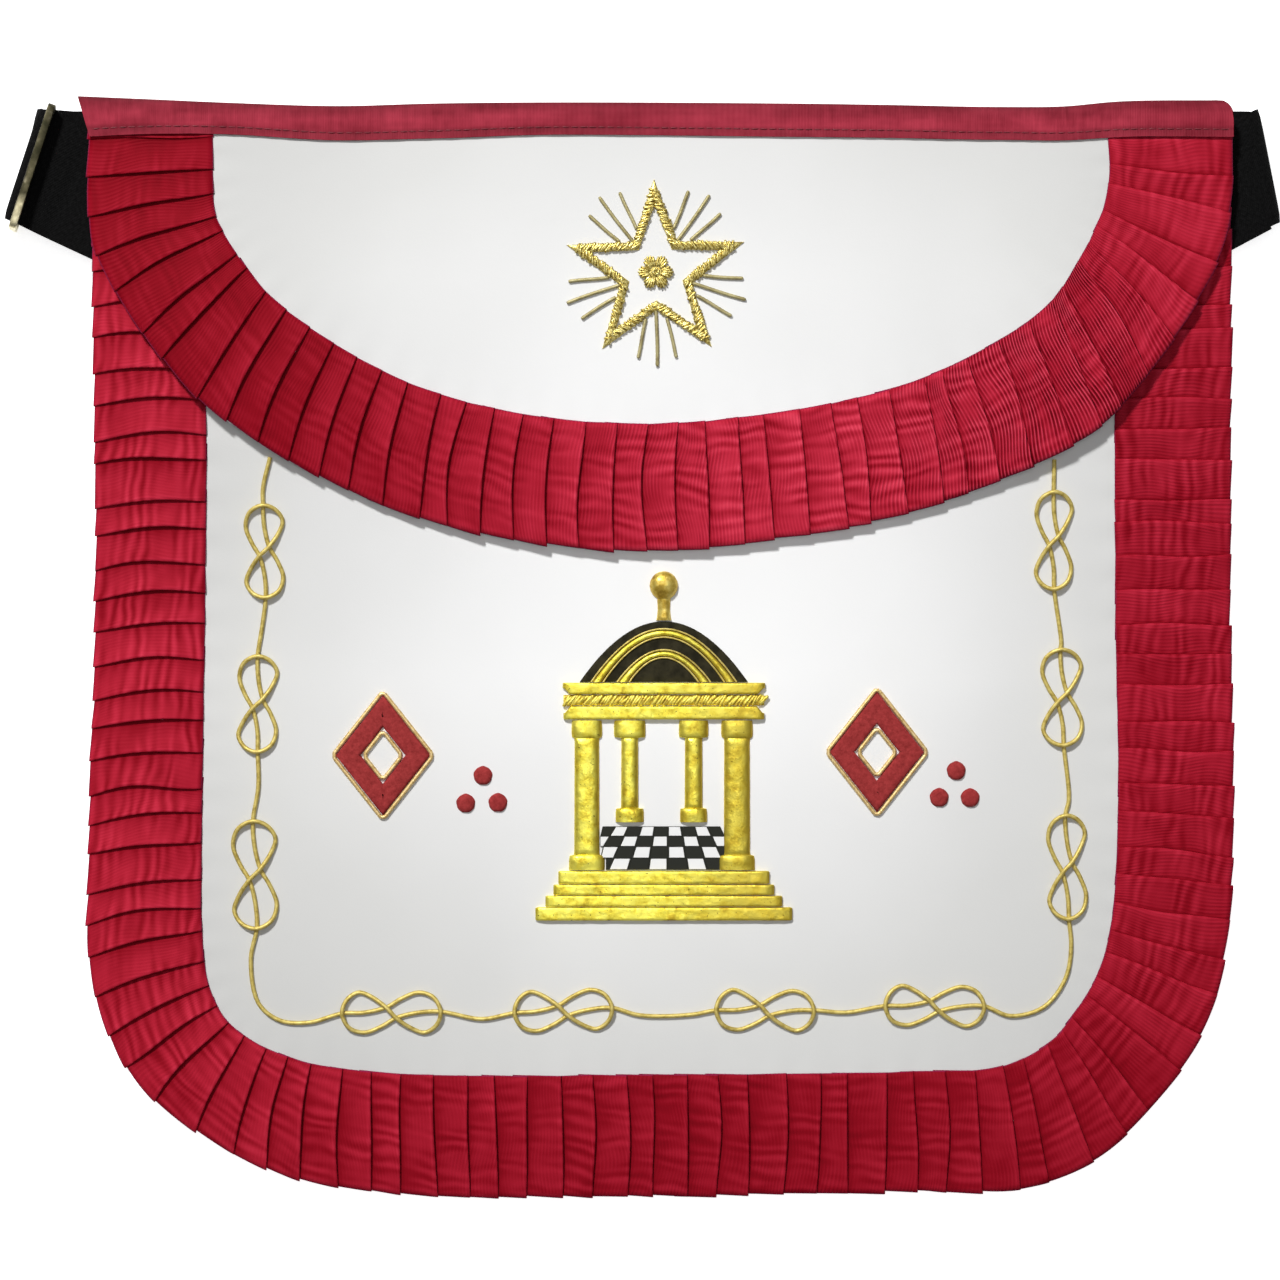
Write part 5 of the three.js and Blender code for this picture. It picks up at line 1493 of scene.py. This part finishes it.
# %% Rope band between the beams
def make_rope_band():
    rng = np.random.default_rng(3)
    half, middle = 0.391, 0.369
    thick = 0.03 * temple_height / 2
    rows = [(0, thick, 0.9 * MM), (1, thick, 0.9 * MM)]
    start, end = in_temple(-half, middle), in_temple(half, middle)
    parts = [padded_bar(start, end, rows, body_top, dent=0.0)]
    parts += chips_along([start, end], 2 * thick, body_top, rng, 50, 1.1 * MM, 0.62 * MM, 1.05 * MM, 5)
    print("turns of the rope:", len(parts) - 1)
    add_form("gold_rope_band", joined(parts), rope_finish, "gold_foil", "temple_rope_band", 70)


make_rope_band()

# %% [markdown]
# ## The columns
# Four padded columns stand round the floor, the front pair wider than the back pair. Each is one form: a
# table of widths and heights along it gives the capital, the groove under it, the shaft and the base, so
# the foil runs on from one to the next as on a single piece of padding.

# %% Columns
Column = namedtuple("Column", "node x half cap base bottom base_length")
columns = [
    Column("temple_front_column_left", -0.3, 0.048, 0.06, 0.07, 0.855, 0.04),
    Column("temple_back_column_left", -0.133, 0.033, 0.062, 0.055, 0.718, 0.038),
    Column("temple_back_column_right", 0.116, 0.034, 0.058, 0.053, 0.718, 0.038),
    Column("temple_front_column_right", 0.285, 0.05, 0.062, 0.07, 0.855, 0.04),
]
column_top = 0.427
cap_length = 0.048


def lay_column(column):
    length = column.bottom - column_top
    cap_at = cap_length / length
    base_at = 1 - column.base_length / length
    shaft, cap, base = (share * temple_width for share in (column.half, column.cap, column.base))
    rows = [
        (0, cap * 0.96, 2.2 * MM), (cap_at * 0.3, cap, 2.35 * MM), (cap_at * 0.78, cap, 2.3 * MM),
        (cap_at, cap * 0.97, 2.0 * MM), (cap_at + 0.008, shaft * 1.04, 1.5 * MM),
        (cap_at + 0.03, shaft, 2.0 * MM), (base_at - 0.03, shaft * 1.03, 2.0 * MM),
        (base_at - 0.008, shaft * 1.06, 1.5 * MM), (base_at, base * 0.96, 2.1 * MM),
        (base_at + 0.03, base, 2.35 * MM), (1, base, 2.1 * MM),
    ]
    shape = padded_bar(in_temple(column.x, column_top), in_temple(column.x, column.bottom), rows,
                       body_top, power=2.3, cell=0.8 * MM, dent=0.16 * MM, points=15)
    return add_form(column.node.replace("temple_", "gold_"), shape, foil_finish, "gold_foil", column.node)


column_pieces = [lay_column(column) for column in columns]
print("columns:", len(column_pieces))

# %% [markdown]
# ## The dome
# The dome is a flat patch of dark woven cloth under the arches, with its edge turned down. A parabola
# draws its outline, and rings that shrink towards a middle point fill it, so it follows the leather
# without a visible corner.


# %% Dark dome
def dome_cloth():
    finish = Finish("dome cloth", (0.02, 0.018, 0.009), 0.8, specular=0.15)
    place = finish.place()
    tone = finish.ramp(finish.noise(place, 300, 3), (0.35, (0.014, 0.012, 0.005)),
                       (0.65, (0.035, 0.03, 0.014)))
    warp = finish.stripes(finish.split(place)["X"], 0.5 * MM)
    return finish.wire(Base_Color=tone, Normal=finish.bump(warp, 0.05 * MM, 0.5))


dome_finish = dome_cloth()
dome_half = 0.328
dome_rows = (0.143, 0.317)
dome_height = 0.9 * MM


def arch_line(half, top, steps):
    """A parabola from left to right."""
    rise = dome_rows[1] - top
    return np.array([in_temple(half * aside, dome_rows[1] - rise * (1 - aside**2))
                     for aside in np.linspace(-1, 1, steps + 1)])


def make_dome():
    arch = arch_line(dome_half, dome_rows[0], 64)
    base = np.linspace(arch[-1], arch[0], 34)[1:-1]
    outline = np.vstack([arch, base])
    centre = in_temple(0, dome_rows[0] + 0.6 * (dome_rows[1] - dome_rows[0]))
    rings = []
    for share, rise in ((1, 0), (1, 0.5), (0.985, 0.85), (0.95, 1.0), (0.7, 1.0), (0.4, 1.0)):
        plan = centre + (outline - centre) * share
        rings.append(np.column_stack([plan, body_top(plan[:, 0], plan[:, 1]) + rise * dome_height]))
    size = len(outline)
    tip = len(rings) * size
    points = np.vstack(rings + [[[*centre, float(body_top(*centre)) + dome_height]]])
    faces = grid_faces(len(rings), size, ring=True)
    faces += [[tip - size + k, tip - size + (k + 1) % size, tip] for k in range(size)]
    faces += [list(range(size))]
    print("points round the dome:", size)
    add_form("dark_dome", (points, faces), dome_finish, "dome_cloth", "temple_dome", 40)


make_dome()

# %% [markdown]
# ## The arches
# Two gold arches cross the dome, each a strip of foil with a fine cord along both edges. Each outer line
# is a parabola like the dome's. The inner line is the same one drawn in towards the middle of its foot,
# which keeps the strip widest at its feet. The cords get a second material inside the same piece.

# %% Gold arches on the dome
arch_width = 4.9 * MM
arch_cord = 0.35 * MM
Arch = namedtuple("Arch", "node half top")
arches = [Arch("temple_arch_outer", 0.287, 0.162), Arch("temple_arch_inner", 0.186, 0.222)]


def on_dome(x, y):
    return body_top(x, y) + dome_height


def sweep_section(line, inwards, half_width, height, ground, points=9, power=2.4):
    """A padded section along an open curve."""
    across, rise = padded_section(points, power)
    plan = line[:, None] + (across[None] * half_width)[..., None] * inwards[:, None]
    z = ground(plan[..., 0], plan[..., 1]) + rise * height
    shape = np.concatenate([plan, z[..., None]], -1).reshape(-1, 3)
    return dented(shape, 0.12 * MM, 700), capped_faces(len(line), points)


def lay_arch(arch):
    line = arch_line(arch.half, arch.top, 90)
    foot = in_temple(0, dome_rows[1])
    shrink = arch_width / (arch.half * temple_width)
    inner = foot + (line - foot) * (1 - shrink)
    middle, half_width = (line + inner) / 2, np.linalg.norm(line - inner, axis=1) / 2
    inwards = (inner - line) / (2 * half_width)[:, None]
    parts = [sweep_section(middle, inwards, (half_width - 0.9 * MM)[:, None], 1.0 * MM, on_dome)]
    for edge in (line + inwards * arch_cord, inner - inwards * arch_cord):
        z = on_dome(edge[:, 0], edge[:, 1]) + 0.3 * MM
        parts.append(twisted(np.column_stack([edge, z]), 0.34 * MM, 1.6 * MM, sides=8))
    thing = add_form(arch.node.replace("temple_", "gold_"), joined(parts), [foil_finish, cord_finish],
                     "gold_foil", arch.node)
    foil_faces = len(parts[0][1])
    for face in thing.data.polygons[foil_faces:]:
        face.material_index = 1
    return thing


arch_pieces = [lay_arch(arch) for arch in arches]
print("arches:", len(arch_pieces))

# %% [markdown]
# ## The ball and its stem
# A padded ball on a short stem tops the dome. Both are one bar again: its width and height follow a half
# circle for the ball and then stay nearly even down the stem.


# %% Ball and stem
def make_finial():
    ball_radius, stem_half = 5 * MM, 2.45 * MM
    dome_top = dome_rows[0] - side_gap / temple_height
    length = dome_top * temple_height
    rows = []
    for degrees in (4, 12, 22, 35, 50, 70, 90, 110, 130, 145, 152):
        turned = math.radians(degrees)
        rows.append((ball_radius * (1 - math.cos(turned)) / length, ball_radius * math.sin(turned),
                     3.4 * MM * math.sin(turned)))
    rows += [(2 * ball_radius / length, stem_half * 0.95, 1.6 * MM), (0.78, stem_half * 0.88, 1.5 * MM),
             (0.95, stem_half, 1.8 * MM), (1, stem_half * 1.1, 1.6 * MM)]
    shape = padded_bar(in_temple(0, 0), in_temple(0, dome_top), rows, body_top, 2.1, 0.5 * MM, 0.16 * MM, 17)
    print("ball and stem in mm:", round(length / MM, 1))
    add_form("gold_finial", shape, ball_finish, "gold_foil", "temple_finial")


make_finial()

# %% [markdown]
# ## The chequered floor
# The floor is drawn in perspective: four rows of black and white squares that grow towards the front and
# fan out from the middle. An image would do for it, but each square is its own raised patch here, with
# its own material, so the edges stay crisp at any distance. Black patches lie everywhere, and the white
# ones on top of them are cut a little small, as on the real cloth.

# %% Squares in perspective
floor_rows = [0.7305, 0.7585, 0.788, 0.8215, 0.855]
floor_middle = 0.016
square_at_top = 4.55 * MM
square_at_bottom = 6.95 * MM
floor_left, floor_right = -0.248, 0.238
floor_front_left, floor_front_right = -0.226, 0.227
white_share = (0.86, 0.9)
thinnest_patch = 0.6 * MM
white, black = 0, 1


def satin(name, colour):
    finish = Finish(name, colour, 0.5, specular=0.2)
    rib = finish.bump(finish.noise(finish.stretched(finish.place(), (200, 1500, 1)), 1, 2), 0.06 * MM, 0.5)
    return finish.wire(Normal=rib)


def floor_patch(corners, low, high, slope):
    """A low block with slightly sloping sides: its points and faces."""
    centre = corners.mean(0)
    rings = []
    for grow, rise in ((1.0, low), (1.0, high), (slope, high + 0.2 * MM)):
        plan = centre + (corners - centre) * grow
        rings.append(np.column_stack([plan, body_top(plan[:, 0], plan[:, 1]) + rise]))
    faces = [face[::-1] for face in grid_faces(3, 4, ring=True)]
    return np.vstack(rings), faces + [[8, 9, 10, 11][::-1], [0, 1, 2, 3]]


def floor_corner(row, step):
    """Where a line between two squares meets a line between two rows."""
    down = floor_rows[row]
    size = np.interp(down, [floor_rows[0], floor_rows[-1]], [square_at_top, square_at_bottom])
    return floor_middle + step * size / temple_width, down


def make_floor():
    parts, colours = [], []
    for row in range(4):
        left, right = (floor_left, floor_right) if row < 3 else (floor_front_left, floor_front_right)
        for column in range(-7, 7):
            corners = [floor_corner(row, column), floor_corner(row, column + 1),
                       floor_corner(row + 1, column + 1), floor_corner(row + 1, column)]
            corners = np.array([in_temple(np.clip(x, left, right), down) for x, down in corners])
            if min(corners[1, 0] - corners[0, 0], corners[2, 0] - corners[3, 0]) < thinnest_patch:
                continue
            parts.append(floor_patch(corners, 0.0, 0.45 * MM, 0.98))
            colours.append(black)
            if (row + column) % 2 == 0:
                centre = corners.mean(0)
                corners = centre + (corners - centre) * white_share
                parts.append(floor_patch(corners, 0.6 * MM, 0.7 * MM, 0.96))
                colours.append(white)
    points, faces = joined(parts)
    mesh = new_mesh("floor_squares", points, faces, 30)
    satins = [satin("white satin", (0.86, 0.86, 0.85)), satin("black satin", (0.016, 0.017, 0.012))]
    add_piece("floor_squares", mesh, satins, "checker_cloth", "temple_pavement")
    mesh.polygons.foreach_set("material_index", np.repeat(colours, [len(part[1]) for part in parts]))
    print("floor patches:", len(parts))


make_floor()

# %% [markdown]
# ## The lozenges
# Beside the temple lie two lozenge frames of red felt with a gold cord along both edges. Felt is fuzzy
# and takes light softly, so it is rough, with some sheen and a fine irregular bump. The frame and both
# cords are worked out from the same four corners, moved in or out along the edges.

# %% Felt and the lozenge frames
lozenge_width = 37 * MM
lozenge_length = 47 * MM
lozenge_stroke = 6.4 * MM
edge_cord = 1.5 * MM
Place = namedtuple("Place", "name x down")
lozenges = [Place("left", -0.482, 0.596), Place("right", 0.378, 0.593)]


def felt():
    finish = Finish("red felt", (0.3, 0.03, 0.03), 0.9, sheen=0.15, specular=0.1)
    finish.shader.inputs["Sheen Tint"].default_value = (1.0, 0.6, 0.55, 1)
    place = finish.place()
    tone = finish.ramp(finish.noise(place, 700, 4, 0.7), (0.3, (0.22, 0.02, 0.02)),
                       (0.7, (0.4, 0.045, 0.045)))
    fuzz = finish.bump(finish.noise(place, 2200, 4, 0.7), 0.15 * MM, 0.7)
    return finish.wire(Base_Color=tone, Normal=fuzz)


felt_finish = felt()
edge_finish = gold("edge cord", (0.55, 0.36, 0.12), (0.78, 0.55, 0.22), (0.9, 0.7, 0.36), 600, 2400,
                   0.08 * MM, 0.45, 0.6)


def lozenge_corners(place, grow):
    centre = on_face(place.x, place.down)
    half_width, half_length = lozenge_width / 2, lozenge_length / 2
    scale = 1 + grow * math.hypot(half_width, half_length) / (half_width * half_length)
    return [centre + scale * np.array(corner) for corner in
            ((0, half_length), (-half_width, 0), (0, -half_length), (half_width, 0))]


def cord_round(corners, radius, ground, pitch):
    """A twisted cord round a closed outline with slightly rounded corners."""
    corners = np.asarray(corners, float)
    rounded = []
    for i, corner in enumerate(corners):
        before, after = corners[i - 1], corners[(i + 1) % len(corners)]
        pull = 1.1 * MM
        rounded.append(corner + (before - corner) / np.linalg.norm(before - corner) * pull)
        rounded.append(corner + (after - corner) / np.linalg.norm(after - corner) * pull)
    rounded.append(rounded[0])
    along = running_length(rounded)
    distances = np.linspace(0, along[-1], int(along[-1] / (0.45 * MM)))
    plan = read_line(rounded, distances, along)
    z = ground(plan[:, 0], plan[:, 1]) + radius * 0.9
    return twisted(np.column_stack([plan, z]), radius, pitch)


def lay_lozenge(place):
    middle = -lozenge_stroke / 2 - side_gap - edge_cord
    felt_shape = padded_frame(lozenge_corners(place, middle), lozenge_stroke + 0.5 * MM, 1.5 * MM, body_top,
                              1 * MM, 5.0)
    pieces = [add_form(f"felt_lozenge_{place.name}", felt_shape, felt_finish, "red_felt",
                       f"lozenge_{place.name}")]
    for word, side in (("outer", 1), ("inner", -1)):
        offset = middle + side * (lozenge_stroke / 2 + side_gap + edge_cord / 2)
        cord_shape = cord_round(lozenge_corners(place, offset), edge_cord / 2, body_top, 2.4 * MM)
        pieces.append(add_form(f"edge_cord_{place.name}_{word}", cord_shape, edge_finish, "gold_cord",
                               f"lozenge_{place.name}_{word}_cord", 70))
    return pieces


lozenge_pieces = [piece for place in lozenges for piece in lay_lozenge(place)]
print("lozenge pieces:", len(lozenge_pieces))

# %% [markdown]
# ## The dots
# Six red dots, three beside each lozenge, are small cushions of the same felt. Hand cut, they aren't quite
# round, so two slow waves run round each rim, a little different for each dot.

# %% Felt dots
dot_places = [(-0.308, 0.6145), (-0.338, 0.6398), (-0.282, 0.6392), (0.516, 0.61), (0.4865, 0.6345),
              (0.5403, 0.6348)]
dot_radius = 3.3 * MM


def lay_dot(number, x, down):
    rough = 0.03 * number

    def rim(angle):
        return dot_radius * (1 + 0.02 * math.sin(5 * angle + rough) + 0.012 * math.sin(9 * angle))

    shape = cushion(on_face(x, down), rim, 1.6 * MM, body_top, 40, 8, 2.6)
    return add_form(f"felt_dot_{number}", shape, felt_finish, "red_felt", f"dot_{number}", 70)


dots = [lay_dot(k + 1, *place) for k, place in enumerate(dot_places)]
print("dots:", len(dots))

# %% [markdown]
# ## The table
# The apron lies on a plain pale surface, wide enough to fill the view from any side. It glows a little, as
# a light table does, so that shadows on it stay faint. It isn't part of the object.

# %% Pale table
half_table = 3.0
table_mesh = bpy.data.meshes.new("table")
table_mesh.from_pydata([(-half_table, -half_table, 0), (half_table, -half_table, 0),
                        (half_table, half_table, 0), (-half_table, half_table, 0)], [], [(0, 1, 2, 3)])
table = bpy.data.objects.new("table", table_mesh)
bpy.context.collection.objects.link(table)
table_finish = Finish("pale table", (0.9, 0.9, 0.9), 0.7, specular=0.2)
table_finish.shader.inputs["Emission Color"].default_value = (1, 1, 1, 1)
table_finish.shader.inputs["Emission Strength"].default_value = 0.75
table_tone = table_finish.noise(table_finish.place(), 3, 2)
table_mesh.materials.append(table_finish.wire(
    Base_Color=table_finish.ramp(table_tone, (0.3, 0.89), (0.7, 0.92))))
